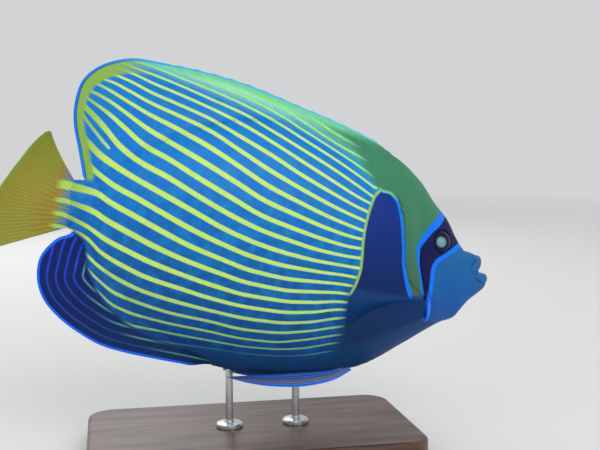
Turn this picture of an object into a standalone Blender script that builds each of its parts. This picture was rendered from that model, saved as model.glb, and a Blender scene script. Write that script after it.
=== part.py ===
"""Life-size emperor angelfish, swimming with its nose a little down, on a two-rod display stand.

The fish is drawn in its own frame, in metres: x runs forward from the root of the tail fin,
z runs up, and the fish's right side is at -y. An empty then tips it nose-down and lifts it
over the stand's base. The body is a loft of lens-shaped sections; each fin is a thin sheet
whose rays stand up as ridges in its own surface.
"""

import math

import bmesh
import bpy
import numpy as np
from mathutils import Matrix, Vector

# Driving dimensions
STANDARD_LENGTH = 0.280
EYE_RADIUS = 0.0082
GAP = 0.0003
NOSE_DOWN = math.radians(11.0)
CLEARANCE = 0.026
BASE_SIZE = (0.205, 0.112, 0.016)
ROD_RADIUS = 0.0024

# Body profiles along x: the back and the belly without fins, the half width and its height
BACK = [
    (0.0, 0.0150), (0.014, 0.0172), (0.026, 0.0275), (0.045, 0.0440), (0.070, 0.0600),
    (0.100, 0.0725), (0.130, 0.0765), (0.160, 0.0750), (0.185, 0.0712), (0.203, 0.0662),
    (0.2213, 0.0545), (0.2335, 0.0425), (0.2435, 0.0342), (0.2515, 0.0240), (0.2574, 0.0178),
    (0.2615, 0.0150), (0.2685, 0.0142), (0.2715, 0.0120), (0.2738, 0.0072), (0.2765, 0.0022),
    (0.280, -0.0010),
]
BELLY = [
    (0.0, -0.0125), (0.012, -0.0150), (0.025, -0.0295), (0.045, -0.0500), (0.065, -0.0655),
    (0.085, -0.0765), (0.105, -0.0832), (0.130, -0.0856), (0.155, -0.0842), (0.180, -0.0788),
    (0.205, -0.0693), (0.2291, -0.0518), (0.2440, -0.0400), (0.2525, -0.0340), (0.2605, -0.0300),
    (0.2628, -0.0265), (0.2675, -0.0188), (0.2735, -0.0122), (0.2775, -0.0080), (0.280, -0.0042),
]
HALF_WIDTH = [
    (0.0, 0.0042), (0.014, 0.0062), (0.040, 0.0125), (0.075, 0.0192), (0.115, 0.0245),
    (0.155, 0.0272), (0.190, 0.0280), (0.212, 0.0264), (0.230, 0.0222), (0.245, 0.0172),
    (0.258, 0.0130), (0.268, 0.0098), (0.275, 0.0073), (0.280, 0.0028),
]
WIDEST_HEIGHT = [
    (0.0, 0.0010), (0.10, 0.0030), (0.19, 0.0000), (0.225, -0.0050), (0.250, -0.0080),
    (0.268, -0.0040), (0.280, -0.0026),
]
# How far a section is pinched to an edge above and below: 1 is an ellipse, 2 a wedge
PINCH_ABOVE = [(0.0, 1.0), (0.03, 1.35), (0.12, 1.45), (0.19, 1.30), (0.23, 1.05), (0.28, 0.9)]
PINCH_BELOW = [(0.0, 1.0), (0.03, 1.40), (0.10, 1.40), (0.16, 1.00), (0.21, 0.92), (0.28, 0.9)]

# The tail swings towards the fish's right, most at the top of the tail fin
BEND_START = 0.040
BEND_CURVATURE = 10.0
BEND_TWIST = 7.0
BEND_HEIGHT = 0.045

# Outlines in the fish's side view, as (x, z)
GILL_OPENING = [
    (0.1985, 0.0900), (0.1985, 0.0520), (0.2040, 0.0400), (0.2085, 0.0290), (0.2130, 0.0050),
    (0.2180, -0.0070), (0.2262, -0.0140), (0.2345, -0.0190), (0.2385, -0.0290), (0.2422, -0.0410),
    (0.2470, -0.0600),
]
CHEEK_EDGE = [
    (0.2082, 0.0376), (0.2150, 0.0335), (0.2200, 0.0245), (0.2232, 0.0100), (0.2268, -0.0035),
    (0.2322, -0.0115), (0.2368, -0.0180),
]
STALK_CUT = 0.0275
DORSAL_BASE = [
    (0.2035, 0.0600), (0.185, 0.0640), (0.160, 0.0672), (0.130, 0.0682), (0.100, 0.0640),
    (0.070, 0.0510), (0.045, 0.0350), (0.030, 0.0215), (0.0185, 0.0120),
]
DORSAL_MARGIN = [
    (0.2015, 0.0690), (0.1898, 0.0733), (0.1615, 0.0806), (0.1342, 0.0859), (0.1009, 0.0922),
    (0.0691, 0.0948), (0.0447, 0.0945), (0.0298, 0.0938), (0.0185, 0.0901), (0.0079, 0.0831),
    (0.0009, 0.0732), (-0.0008, 0.0590), (0.0012, 0.0474), (0.0066, 0.0334), (0.0120, 0.0185),
]
ANAL_BASE = [
    (0.1120, -0.0770), (0.095, -0.0720), (0.075, -0.0620), (0.055, -0.0480), (0.038, -0.0330),
    (0.026, -0.0200), (0.0175, -0.0105),
]
ANAL_MARGIN = [
    (0.1060, -0.0862), (0.0927, -0.0856), (0.0708, -0.0846), (0.0553, -0.0836), (0.0398, -0.0812),
    (0.0260, -0.0758), (0.0130, -0.0685), (0.0018, -0.0585), (-0.0040, -0.0465), (-0.0043, -0.0330),
    (0.0030, -0.0212), (0.0115, -0.0165),
]
DORSAL_SPINES = 14
DORSAL_SOFT_RAYS = 20
DORSAL_SPLIT = 0.57
ANAL_RAYS = 22
FIN_ROOT_HALF = 0.0034
FIN_EDGE_HALF = 0.00032
RAY_HEIGHT = 0.00050

# Tail fin: rays fan from the end of the stalk
TAIL_RAYS = 16
TAIL_ROOT = [(0.0095, 0.0128), (0.0095, -0.0126)]
TAIL_ANGLES = (math.radians(49.0), math.radians(-25.0))
TAIL_RAY_LENGTHS = [
    (0.0, 0.0392), (0.04, 0.0414), (0.12, 0.0416), (0.28, 0.0414), (0.45, 0.0434), (0.62, 0.0474),
    (0.78, 0.0500), (0.92, 0.0484), (1.0, 0.0438),
]
TAIL_CURL = 16.0
TAIL_ROOT_HALF = (0.0009, 0.0034)

# Paired fins, for the right side; the left is their mirror image
PECTORAL_ROOT = [(0.2325, -0.0196), (0.2362, -0.0300)]
PECTORAL_RAY_LENGTHS = [
    (0.0, 0.0240), (0.12, 0.0360), (0.30, 0.0490), (0.50, 0.0580), (0.70, 0.0625), (0.88, 0.0595),
    (1.0, 0.0490),
]
PECTORAL_RAYS = 16
PECTORAL_FLARE = math.radians(22.0)
PECTORAL_ANGLES = (math.radians(9.0), math.radians(23.0))
PELVIC_EDGE = [
    (0.1980, -0.0725), (0.1870, -0.0803), (0.1680, -0.0865), (0.1486, -0.0890), (0.1356, -0.0893),
    (0.1256, -0.0886), (0.1185, -0.0876),
]
PELVIC_INNER = [
    (0.1930, -0.0700), (0.1830, -0.0740), (0.1680, -0.0770), (0.1520, -0.0800), (0.1400, -0.0822),
    (0.1290, -0.0845), (0.1190, -0.0868),
]
PELVIC_RAYS = 6

EYE_PLACE = (0.2382, 0.0190)
EYE_DEPTH = 0.0066
EYE_PROUD = 0.0028
EYE_SQUARED = 1.0
NOSTRILS = [(0.2505, 0.0192, 0.00075), (0.2478, 0.0222, 0.0006)]
JAW_JOINT = [
    (0.2675, 0.0400), (0.2675, -0.0010), (0.2650, -0.0060), (0.2605, -0.0130), (0.2605, -0.0208),
    (0.3100, -0.0208),
]
MOUTH_TOP = [(0.2690, -0.0004), (0.2738, 0.0020), (0.2770, 0.0034)]
MOUTH_BOTTOM = [(0.2690, -0.0011), (0.2738, -0.0004), (0.2775, -0.0007)]
UPPER_LIP = (0.2717, 0.0058)
LOWER_LIP = (0.2774, -0.0034)
LIP_BACK = 0.0085
LIP_SPREAD = 0.0074
COVER_PROUD = 0.0007
COVER_THICKNESS = 0.0016
SPINE_ROOT = (0.2384, -0.0203)
SPINE_TIP = (0.2369, -0.0332)
SPINE_RADIUS = 0.0015

# Stand: the rods meet the belly between the pelvic fins and behind them
ROD_PLACES = [("stand_rod_front", 0.1640), ("stand_rod_rear", 0.1210)]
FOOT_RADIUS = 0.0085
BASE_CORNER = 0.016

# Colour, roughness and metallic value for each node, by the start of its name
LOOKS = {
    "head": ((0.060, 0.155, 0.150), 0.42, 0.0),
    "gill_cover": ((0.110, 0.200, 0.090), 0.42, 0.0),
    "upper_jaw": ((0.020, 0.150, 0.400), 0.42, 0.0),
    "lower_jaw": ((0.020, 0.150, 0.400), 0.42, 0.0),
    "eye": ((0.006, 0.009, 0.045), 0.12, 0.0),
    "cheek_spine": ((0.000, 0.220, 1.000), 0.30, 0.0),
    "trunk": ((0.030, 0.170, 0.500), 0.42, 0.0),
    "tail_stalk": ((0.030, 0.170, 0.500), 0.42, 0.0),
    "dorsal_fin": ((0.130, 0.420, 0.260), 0.45, 0.0),
    "anal_fin": ((0.010, 0.035, 0.170), 0.45, 0.0),
    "tail_fin": ((0.300, 0.270, 0.060), 0.50, 0.0),
    "pectoral_fin": ((0.012, 0.040, 0.120), 0.45, 0.0),
    "pelvic_fin": ((0.010, 0.110, 0.500), 0.45, 0.0),
    "stand_base": ((0.045, 0.022, 0.012), 0.35, 0.0),
    "stand_rod": ((0.560, 0.570, 0.580), 0.30, 1.0),
}

RING_POINTS = 36
HEAD_STEP = 0.0052
TRUNK_STEP = 0.0100


def interpolate(table, x):
    """A smooth curve through a table of (x, value), with no overshoot between its points."""
    xs = [p[0] for p in table]
    ys = [p[1] for p in table]
    x = min(max(x, xs[0]), xs[-1])
    i = min(max(int(np.searchsorted(xs, x)) - 1, 0), len(xs) - 2)
    slopes = [(ys[k + 1] - ys[k]) / (xs[k + 1] - xs[k]) for k in range(len(xs) - 1)]

    def tangent(k):
        if k == 0:
            return slopes[0]
        if k == len(xs) - 1:
            return slopes[-1]
        before, after = slopes[k - 1], slopes[k]
        if before * after <= 0:
            return 0.0
        return 2 * before * after / (before + after)

    width = xs[i + 1] - xs[i]
    t = (x - xs[i]) / width
    h00, h10 = 2 * t**3 - 3 * t**2 + 1, t**3 - 2 * t**2 + t
    h01, h11 = -2 * t**3 + 3 * t**2, t**3 - t**2
    return h00 * ys[i] + h10 * width * tangent(i) + h01 * ys[i + 1] + h11 * width * tangent(i + 1)


def along(points, share):
    """The point at a share of the way along a smooth outline through a few points."""
    p = np.array(points, float)
    lengths = np.concatenate([[0], np.cumsum(np.linalg.norm(np.diff(p, axis=0), axis=1))])
    where = share * lengths[-1]
    i = min(max(int(np.searchsorted(lengths, where)) - 1, 0), len(p) - 2)
    before = p[max(i - 1, 0)]
    after = p[min(i + 2, len(p) - 1)]
    t = (where - lengths[i]) / (lengths[i + 1] - lengths[i])
    step = lengths[i + 1] - lengths[i]
    start = (p[i + 1] - before) / (lengths[i + 1] - lengths[max(i - 1, 0)]) * step
    end = (after - p[i]) / (lengths[min(i + 2, len(p) - 1)] - lengths[i]) * step
    h00, h10 = 2 * t**3 - 3 * t**2 + 1, t**3 - 2 * t**2 + t
    h01, h11 = -2 * t**3 + 3 * t**2, t**3 - t**2
    return h00 * p[i] + h10 * start + h01 * p[i + 1] + h11 * end


def bent(point):
    """Swings a point of the straight fish with the tail: nothing ahead of BEND_START moves."""
    x, y, z = point
    behind = BEND_START - x
    if behind <= 0:
        return (x, y, z)
    curvature = BEND_CURVATURE + BEND_TWIST * math.tanh(z / BEND_HEIGHT)
    ramp = behind * behind / (behind + 0.020)
    angle = curvature * ramp
    side = -(1 - math.cos(angle)) / curvature
    back = BEND_START - (behind - ramp) - math.sin(angle) / curvature
    return (back - y * math.sin(angle), side + y * math.cos(angle), z)


def half_width_at(x, z):
    """The body's half width at a point of its side view."""
    middle = interpolate(WIDEST_HEIGHT, x)
    if z >= middle:
        share = (z - middle) / (interpolate(BACK, x) - middle)
        pinch = interpolate(PINCH_ABOVE, x)
    else:
        share = (middle - z) / (middle - interpolate(BELLY, x))
        pinch = interpolate(PINCH_BELOW, x)
    return interpolate(HALF_WIDTH, x) * max(1 - min(share, 1) ** 2, 0) ** (pinch / 2)


def body_ring(x, grow):
    """One closed section of the body, starting at the right side and running up over the back."""
    middle = interpolate(WIDEST_HEIGHT, x)
    back = max(interpolate(BACK, x) + grow, middle + 0.0004)
    belly = min(interpolate(BELLY, x) - grow, middle - 0.0004)
    half = max(interpolate(HALF_WIDTH, x) + grow, 0.0004)
    ring = []
    for k in range(RING_POINTS):
        angle = 2 * math.pi * k / RING_POINTS
        up, out = math.sin(angle), math.cos(angle)
        pinch = interpolate(PINCH_ABOVE if up > 0 else PINCH_BELOW, x)
        z = middle + (back - middle) * up if up > 0 else middle + (middle - belly) * up
        y = -half * math.copysign(abs(out) ** pinch, out)
        ring.append((x, y, z))
    return ring


def stations():
    """Where the body's sections stand: closer together on the head."""
    trunk = np.arange(-0.0015, 0.196, TRUNK_STEP)
    head = np.arange(0.198, 0.262, HEAD_STEP)
    muzzle = [0.2650, 0.2690, 0.2725, 0.2755, 0.2780, 0.2794, STANDARD_LENGTH]
    return [*trunk, *head, *muzzle]


def mesh_object(name, points, faces, group):
    """A closed mesh object in a collection, its faces pointing out."""
    mesh = bpy.data.meshes.new(name)
    mesh.from_pydata(points, [], faces)
    bm = bmesh.new()
    bm.from_mesh(mesh)
    bmesh.ops.recalc_face_normals(bm, faces=bm.faces)
    bm.to_mesh(mesh)
    bm.free()
    obj = bpy.data.objects.new(name, mesh)
    group.objects.link(obj)
    return obj


def body_loft(name, grow, group):
    """The whole body without fins, as one closed loft from the tail's root to the lips."""
    points, faces = [], []
    rings = stations()
    for r, x in enumerate(rings):
        shift = -grow if r == 0 else grow if r == len(rings) - 1 else 0
        points += [bent((px + shift, py, pz)) for px, py, pz in body_ring(x, grow)]
    for r in range(len(rings) - 1):
        for k in range(RING_POINTS):
            a = r * RING_POINTS + k
            b = r * RING_POINTS + (k + 1) % RING_POINTS
            faces.append((a, b, b + RING_POINTS, a + RING_POINTS))
    faces.append(tuple(range(RING_POINTS)))
    last = (len(rings) - 1) * RING_POINTS
    faces.append(tuple(range(last, last + RING_POINTS)))
    return mesh_object(name, points, faces, group)


def bake(obj):
    """Replaces an object's mesh by its evaluated mesh, keeping its largest closed surface."""
    graph = bpy.context.evaluated_depsgraph_get()
    graph.update()
    mesh = bpy.data.meshes.new_from_object(obj.evaluated_get(graph))
    obj.modifiers.clear()
    obj.data = mesh
    bm = bmesh.new()
    bm.from_mesh(mesh)
    loose = set(bm.faces)
    islands = []
    while loose:
        stack = [loose.pop()]
        island = set(stack)
        while stack:
            face = stack.pop()
            for edge in face.edges:
                for other in edge.link_faces:
                    if other in loose:
                        loose.discard(other)
                        island.add(other)
                        stack.append(other)
        islands.append(island)
    islands.sort(key=lambda faces: sum(f.calc_area() for f in faces), reverse=True)
    scraps = [f for island in islands[1:] for f in island]
    bmesh.ops.delete(bm, geom=scraps, context="FACES")
    bmesh.ops.triangulate(bm, faces=bm.faces)
    bm.to_mesh(mesh)
    bm.free()


def combine(obj, other, operation, solver="EXACT"):
    """One Boolean with another object, applied."""
    modifier = obj.modifiers.new("combine", "BOOLEAN")
    modifier.operation = operation
    modifier.solver = solver
    modifier.object = other
    bake(obj)


def copy_of(obj, name, group):
    """A copy with a mesh of its own."""
    copy = obj.copy()
    copy.data = obj.data.copy()
    copy.name = name
    group.objects.link(copy)
    return copy


def prism(name, outline, low, high, group):
    """A side-view outline carried straight across the fish from y = low to y = high."""
    curve = bpy.data.curves.new(name, "CURVE")
    curve.dimensions = "2D"
    curve.fill_mode = "BOTH"
    curve.extrude = (high - low) / 2
    spline = curve.splines.new("POLY")
    spline.points.add(len(outline) - 1)
    for point, (x, z) in zip(spline.points, outline):
        point.co = (x, z, 0, 1)
    spline.use_cyclic_u = True
    upright = Matrix.Translation((0, (low + high) / 2, 0)) @ Matrix.Rotation(math.pi / 2, 4, "X")
    return curve_mesh(curve, group, upright)


def offset_outline(points, distance):
    """Moves an open outline sideways in its plane, forward for a positive distance."""
    p = np.array(points, float)
    tangents = np.gradient(p, axis=0)
    tangents /= np.linalg.norm(tangents, axis=1)[:, None]
    normals = np.stack([-tangents[:, 1], tangents[:, 0]], axis=1)
    return [tuple(q) for q in p + normals * distance]


def sampled(points, count):
    """Evenly spaced points along a smooth outline."""
    return [tuple(along(points, k / (count - 1))) for k in range(count)]


def sheet(name, columns, group):
    """A thin closed sheet. Each column is a row of (centre, sideways half thickness) from root
    to edge, and both faces are split into the same triangles."""
    rows = len(columns[0])
    points, faces = [], []
    for side in (1, -1):
        for column in columns:
            for centre, half in column:
                points.append(tuple(np.array(centre) + side * np.array(half)))
    far = len(columns) * rows
    for c in range(len(columns) - 1):
        for r in range(rows - 1):
            a, b = c * rows + r, (c + 1) * rows + r
            if (c + r) % 2:
                pair = [(a, b, b + 1), (a, b + 1, a + 1)]
            else:
                pair = [(a, b, a + 1), (b, b + 1, a + 1)]
            faces += pair
            faces += [tuple(v + far for v in reversed(face)) for face in pair]
    rim = [c * rows for c in range(len(columns))]
    rim += [(len(columns) - 1) * rows + r for r in range(1, rows)]
    rim += [c * rows + rows - 1 for c in range(len(columns) - 2, -1, -1)]
    rim += list(range(rows - 2, 0, -1))
    for a, b in zip(rim, rim[1:] + rim[:1]):
        faces.append((a, a + far, b + far, b))
    return mesh_object(name, points, faces, group)


def median_fin(name, base, margin, shares, rays, rows, spiny, group):
    """A fin on the fish's midline over a range of shares, with a ridge for each ray.

    The rays fade into the thick scaly root, and a spiny fin's tips stand out of its edge."""
    columns = []
    steps = 2 * rays
    for c in range(steps + 1):
        share = shares[0] + (shares[1] - shares[0]) * c / steps
        ridge = c % 2
        root = np.array(along(base, share))
        tip = np.array(along(margin, share))
        reach = tip - root
        if spiny:
            tip = tip + reach / np.linalg.norm(reach) * (0.0003 if ridge else -0.0010)
        column = []
        for r in range(rows):
            t = r / (rows - 1)
            x, z = root + (tip - root) * t
            half = FIN_EDGE_HALF + (FIN_ROOT_HALF - FIN_EDGE_HALF) * (1 - t) ** 1.5
            half += ridge * RAY_HEIGHT * min(1, 1.8 * t) * (1 - 0.55 * t)
            foot = np.array(bent((x, 0, z)))
            column.append((foot, np.array(bent((x, half, z))) - foot))
        columns.append(column)
    return sheet(name, columns, group)


def tail_fin(group):
    """The fan of the tail: a rounded edge, its top lobe curled a little towards the right."""
    columns = []
    steps = 2 * TAIL_RAYS
    rows = 7
    for c in range(steps + 1):
        share = c / steps
        ridge = c % 2
        angle = TAIL_ANGLES[0] + (TAIL_ANGLES[1] - TAIL_ANGLES[0]) * share
        root = np.array(TAIL_ROOT[0]) * (1 - share) + np.array(TAIL_ROOT[1]) * share
        length = interpolate(TAIL_RAY_LENGTHS, share) + ridge * 0.0003
        swell = TAIL_ROOT_HALF[0] + TAIL_ROOT_HALF[1] * (1 - (2 * share - 1) ** 2)
        tip = root + length * np.array((-math.cos(angle), math.sin(angle)))
        column = []
        for r in range(rows):
            t = r / (rows - 1)
            x, z = root + (tip - root) * t
            half = FIN_EDGE_HALF + swell * (1 - t) ** 2.4
            half += ridge * RAY_HEIGHT * min(1, 2.2 * t) * (1 - 0.5 * t)
            curl = TAIL_CURL * max(z - TAIL_ROOT[0][1], 0)
            y = -(1 - math.cos(curl)) / TAIL_CURL
            z = min(z, TAIL_ROOT[0][1]) + math.sin(curl) / TAIL_CURL
            foot = np.array(bent((x, y, z)))
            column.append((foot, np.array(bent((x, y + half, z))) - foot))
        columns.append(column)
    return sheet("tail_fin", columns, group)


def pectoral_fin(name, side, group):
    """A rounded paddle from behind the gill opening, held a little away from the flank."""
    columns = []
    steps = 2 * PECTORAL_RAYS
    rows = 8
    flare = PECTORAL_FLARE
    for c in range(steps + 1):
        share = c / steps
        ridge = c % 2
        angle = PECTORAL_ANGLES[0] + (PECTORAL_ANGLES[1] - PECTORAL_ANGLES[0]) * share
        length = interpolate(PECTORAL_RAY_LENGTHS, share) + ridge * 0.0004
        back = np.array((-math.cos(angle), -math.sin(angle)))
        top, low = np.array(PECTORAL_ROOT[0]), np.array(PECTORAL_ROOT[1])
        foot = top + (low - top) * share
        start = half_width_at(*foot) - 0.0004
        column = []
        for r in range(rows):
            t = r / (rows - 1)
            x, z = foot + back * t * length * math.cos(flare)
            out = start + t * length * math.sin(flare) * (1.25 - 0.35 * t)
            half = 0.00028 + 0.0010 * (1 - t) ** 3
            half += ridge * 0.00030 * min(1, 3 * t) * (1 - 0.6 * t)
            thick = (half * math.sin(flare), side * half * math.cos(flare), 0)
            column.append(((x, side * out, z), thick))
        columns.append(column)
    return sheet(name, columns, group)


def pelvic_fin(name, side, group):
    """A long pointed blade laid back under the belly, its stout front edge lowest."""
    columns = []
    steps = 2 * PELVIC_RAYS
    rows = 11
    for c in range(steps + 1):
        across = c / steps
        ridge = (c + 1) % 2
        column = []
        for r in range(rows):
            t = r / (rows - 1)
            outer = along(PELVIC_EDGE, t)
            inner = along(PELVIC_INNER, t)
            x, z = outer + (inner - outer) * across
            y = 0.0046 + 0.0062 * math.sin(math.pi * min(t * 0.75, 1)) + 0.0030 * across
            lead = 0.0010 * (1 - across) ** 3
            half = (0.00030 + lead * (1 - t) + 0.0007 * (1 - t) ** 4)
            half += ridge * 0.00028 * (1 - 0.6 * t)
            column.append(((x, side * y, z), (0, side * half, 0)))
        columns.append(column)
    return sheet(name, columns, group)


def skin_normal(x, z, side):
    """The outward direction of the flank at a point of the side view."""
    step = 0.0015
    along_x = (half_width_at(x + step, z) - half_width_at(x - step, z)) / (2 * step)
    along_z = (half_width_at(x, z + step) - half_width_at(x, z - step)) / (2 * step)
    return Vector((-along_x, side, -along_z)).normalized()


def on_skin(x, z, side, depth, squared=0.0):
    """A transform set a depth below the flank, its z axis out of it and partly squared to y."""
    outward = skin_normal(x, z, side)
    place = Vector((x, side * half_width_at(x, z), z)) - outward * depth
    outward = (outward + Vector((0, side * squared, 0))).normalized()
    return Matrix.Translation(place) @ outward.to_track_quat("Z", "Y").to_matrix().to_4x4()


def from_bmesh(name, bm, group):
    """An object from a bmesh, its faces pointing out."""
    bmesh.ops.recalc_face_normals(bm, faces=bm.faces)
    mesh = bpy.data.meshes.new(name)
    bm.to_mesh(mesh)
    bm.free()
    obj = bpy.data.objects.new(name, mesh)
    group.objects.link(obj)
    return obj


def eye(name, side, grow, group):
    """A slightly flattened ball."""
    bm = bmesh.new()
    bmesh.ops.create_uvsphere(bm, u_segments=20, v_segments=12, radius=1)
    size = Matrix.Diagonal((EYE_RADIUS + grow, EYE_RADIUS + grow, EYE_DEPTH + grow, 1))
    where = on_skin(*EYE_PLACE, side, EYE_DEPTH - EYE_PROUD, EYE_SQUARED)
    bmesh.ops.transform(bm, matrix=where @ size, verts=bm.verts)
    return from_bmesh(name, bm, group)


def eye_rim(side, group):
    """The low ring of skin round the eye."""
    bpy.ops.mesh.primitive_torus_add(
        major_radius=EYE_RADIUS * 0.92, minor_radius=0.0012, major_segments=24, minor_segments=6
    )
    rim = bpy.context.object
    rim.data.transform(on_skin(*EYE_PLACE, side, 0.0002, EYE_SQUARED / 2))
    return moved_to(rim, "eye_rim", group)


def moved_to(obj, name, group):
    """Names an object and moves it into a collection."""
    obj.name = name
    for held in list(obj.users_collection):
        held.objects.unlink(obj)
    group.objects.link(obj)
    return obj


def nostril(x, z, radius, side, group):
    """A round cutter that leaves a shallow pit."""
    bm = bmesh.new()
    bmesh.ops.create_cone(
        bm, cap_ends=True, segments=10, radius1=radius * 0.7, radius2=radius, depth=0.0030
    )
    bmesh.ops.transform(bm, matrix=on_skin(x, z, side, 0.0), verts=bm.verts)
    return from_bmesh("nostril", bm, group)


def cheek_spine(name, side, group):
    """The stout curved spine at the lower corner of the cheek."""
    sides, steps = 8, 7
    points, faces = [], []
    for k in range(steps):
        t = k / (steps - 1)
        x = SPINE_ROOT[0] + (SPINE_TIP[0] - SPINE_ROOT[0]) * t + 0.0005 * math.sin(math.pi * t)
        z = SPINE_ROOT[1] + (SPINE_TIP[1] - SPINE_ROOT[1]) * t
        out = half_width_at(x, z) + 0.0002 + 0.0013 * t
        radius = SPINE_RADIUS * (1 - 0.84 * t**1.3)
        for j in range(sides):
            turn = 2 * math.pi * j / sides
            points.append((x + radius * math.cos(turn), side * (out + radius * math.sin(turn)), z))
    for k in range(steps - 1):
        for j in range(sides):
            a, b = k * sides + j, k * sides + (j + 1) % sides
            faces.append((a, b, b + sides, a + sides))
    faces.append(tuple(range(sides)))
    faces.append(tuple(range((steps - 1) * sides, steps * sides)))
    return mesh_object(name, points, faces, group)


def lip(front, thickness, group):
    """A fleshy roll bent round the front of a jaw."""
    curve = bpy.data.curves.new("lip", "CURVE")
    curve.dimensions = "3D"
    curve.bevel_depth = thickness
    curve.bevel_resolution = 2
    curve.use_fill_caps = True
    spline = curve.splines.new("POLY")
    count = 13
    spline.points.add(count - 1)
    for k, point in enumerate(spline.points):
        turn = math.pi * (k / (count - 1) - 0.5)
        back = LIP_BACK * (1 - math.cos(turn))
        point.co = (front[0] - back, LIP_SPREAD * math.sin(turn), front[1] - 0.25 * back, 1)
    return curve_mesh(curve, group)


def curve_mesh(curve, group, turned=None):
    """Turns a curve into a closed mesh object."""
    shape = bpy.data.objects.new(curve.name, curve)
    group.objects.link(shape)
    graph = bpy.context.evaluated_depsgraph_get()
    graph.update()
    bm = bmesh.new()
    bm.from_mesh(bpy.data.meshes.new_from_object(shape.evaluated_get(graph)))
    bpy.data.objects.remove(shape)
    if turned is not None:
        bmesh.ops.transform(bm, matrix=turned, verts=bm.verts)
    bmesh.ops.remove_doubles(bm, verts=bm.verts, dist=1e-6)
    return from_bmesh(curve.name, bm, group)


def material(name, colour, roughness, metallic=0.0):
    """A Principled material."""
    made = bpy.data.materials.new(name)
    made.use_nodes = True
    shader = made.node_tree.nodes["Principled BSDF"]
    shader.inputs["Base Color"].default_value = (*colour, 1.0)
    shader.inputs["Roughness"].default_value = roughness
    shader.inputs["Metallic"].default_value = metallic
    made.diffuse_color = (*colour, 1.0)
    return made


def split_body(fish, tools):
    """The body without fins, parted along the gill opening and across the tail stalk."""
    whole = body_loft("whole", 0.0, tools)
    gill = sampled(GILL_OPENING, 26)
    ahead = [*offset_outline(gill, GAP / 2), (0.30, -0.12), (0.30, 0.12)]
    behind = [*offset_outline(gill, -GAP / 2), (-0.02, -0.12), (-0.02, 0.12)]
    cut = STALK_CUT
    front_side = prism("front_side", ahead, -0.08, 0.08, tools)
    rear_side = prism("rear_side", behind, -0.08, 0.08, tools)
    trunk_side = prism("trunk_side", [(cut, 0.1), (cut, -0.1), (0.3, -0.1), (0.3, 0.1)],
                       -0.08, 0.08, tools)
    cut -= GAP
    stalk_side = prism("stalk_side", [(cut, 0.1), (cut, -0.1), (-0.05, -0.1), (-0.05, 0.1)],
                       -0.08, 0.08, tools)
    head = copy_of(whole, "head", fish)
    combine(head, front_side, "INTERSECT")
    trunk = copy_of(whole, "trunk", fish)
    combine(trunk, rear_side, "INTERSECT")
    stalk = copy_of(trunk, "tail_stalk", fish)
    combine(stalk, stalk_side, "INTERSECT")
    combine(trunk, trunk_side, "INTERSECT")
    return head, front_side


def gill_covers(head, front_side, fish, tools):
    """A plate each side from the cheek's edge to the gill opening, standing a little proud."""
    rear = offset_outline(sampled(GILL_OPENING[2:9], 16), -0.004)
    front = sampled(CHEEK_EDGE, 12)
    outline = [*rear, *reversed(front)]
    larger = [(rear[0][0], rear[0][1] + 0.0006), *rear, (rear[-1][0], rear[-1][1] - 0.0006)]
    larger += list(reversed(offset_outline(front, GAP)))
    outer = body_loft("outer", COVER_PROUD, tools)
    inner = body_loft("inner", -COVER_THICKNESS, tools)
    deeper = body_loft("deeper", -COVER_THICKNESS - GAP, tools)
    for name, side in (("gill_cover_right", -1), ("gill_cover_left", 1)):
        low, high = sorted((side * 0.006, side * 0.08))
        cover = prism(name, outline, low, high, fish)
        combine(cover, front_side, "INTERSECT")
        combine(cover, outer, "INTERSECT")
        combine(cover, inner, "DIFFERENCE")
        bed = prism("bed", larger, low, high, tools)
        combine(bed, deeper, "DIFFERENCE")
        combine(head, bed, "DIFFERENCE")


def jaws(head, fish, tools):
    """The two jaws with their lips, parted by the line of the mouth."""
    joint = JAW_JOINT
    upper = [joint[0], (joint[1][0], joint[1][1] + GAP), *MOUTH_TOP, (0.31, 0.004), (0.31, 0.04)]
    lower = [(joint[1][0] - GAP, joint[1][1] - GAP), *joint[2:], (0.31, -0.001)]
    lower += list(reversed(MOUTH_BOTTOM))
    room = [(x - GAP, z) for x, z in joint[:4]]
    room += [(x - GAP, z - GAP) for x, z in joint[4:]]
    room += [(0.31, 0.04)]
    muzzle = copy_of(head, "muzzle", tools)
    combine(head, prism("room", room, -0.05, 0.05, tools), "DIFFERENCE")
    for name, outline, roll, thickness in (
        ("upper_jaw", upper, UPPER_LIP, 0.0023),
        ("lower_jaw", lower, LOWER_LIP, 0.0021),
    ):
        jaw = copy_of(muzzle, name, fish)
        combine(jaw, lip(roll, thickness, tools), "UNION")
        combine(jaw, prism("block", outline, -0.05, 0.05, tools), "INTERSECT")


def face_details(head, grown, fish, tools):
    """Eyes in their sockets, nostrils and cheek spines."""
    for side, word in ((-1, "right"), (1, "left")):
        combine(head, eye_rim(side, tools), "UNION", "MANIFOLD")
        combine(head, eye("socket", side, GAP, tools), "DIFFERENCE", "MANIFOLD")
        eye("eye_" + word, side, 0.0, fish)
        for x, z, radius in NOSTRILS:
            combine(head, nostril(x, z, radius, side, tools), "DIFFERENCE", "MANIFOLD")
        combine(cheek_spine("cheek_spine_" + word, side, fish), grown, "DIFFERENCE")


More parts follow.
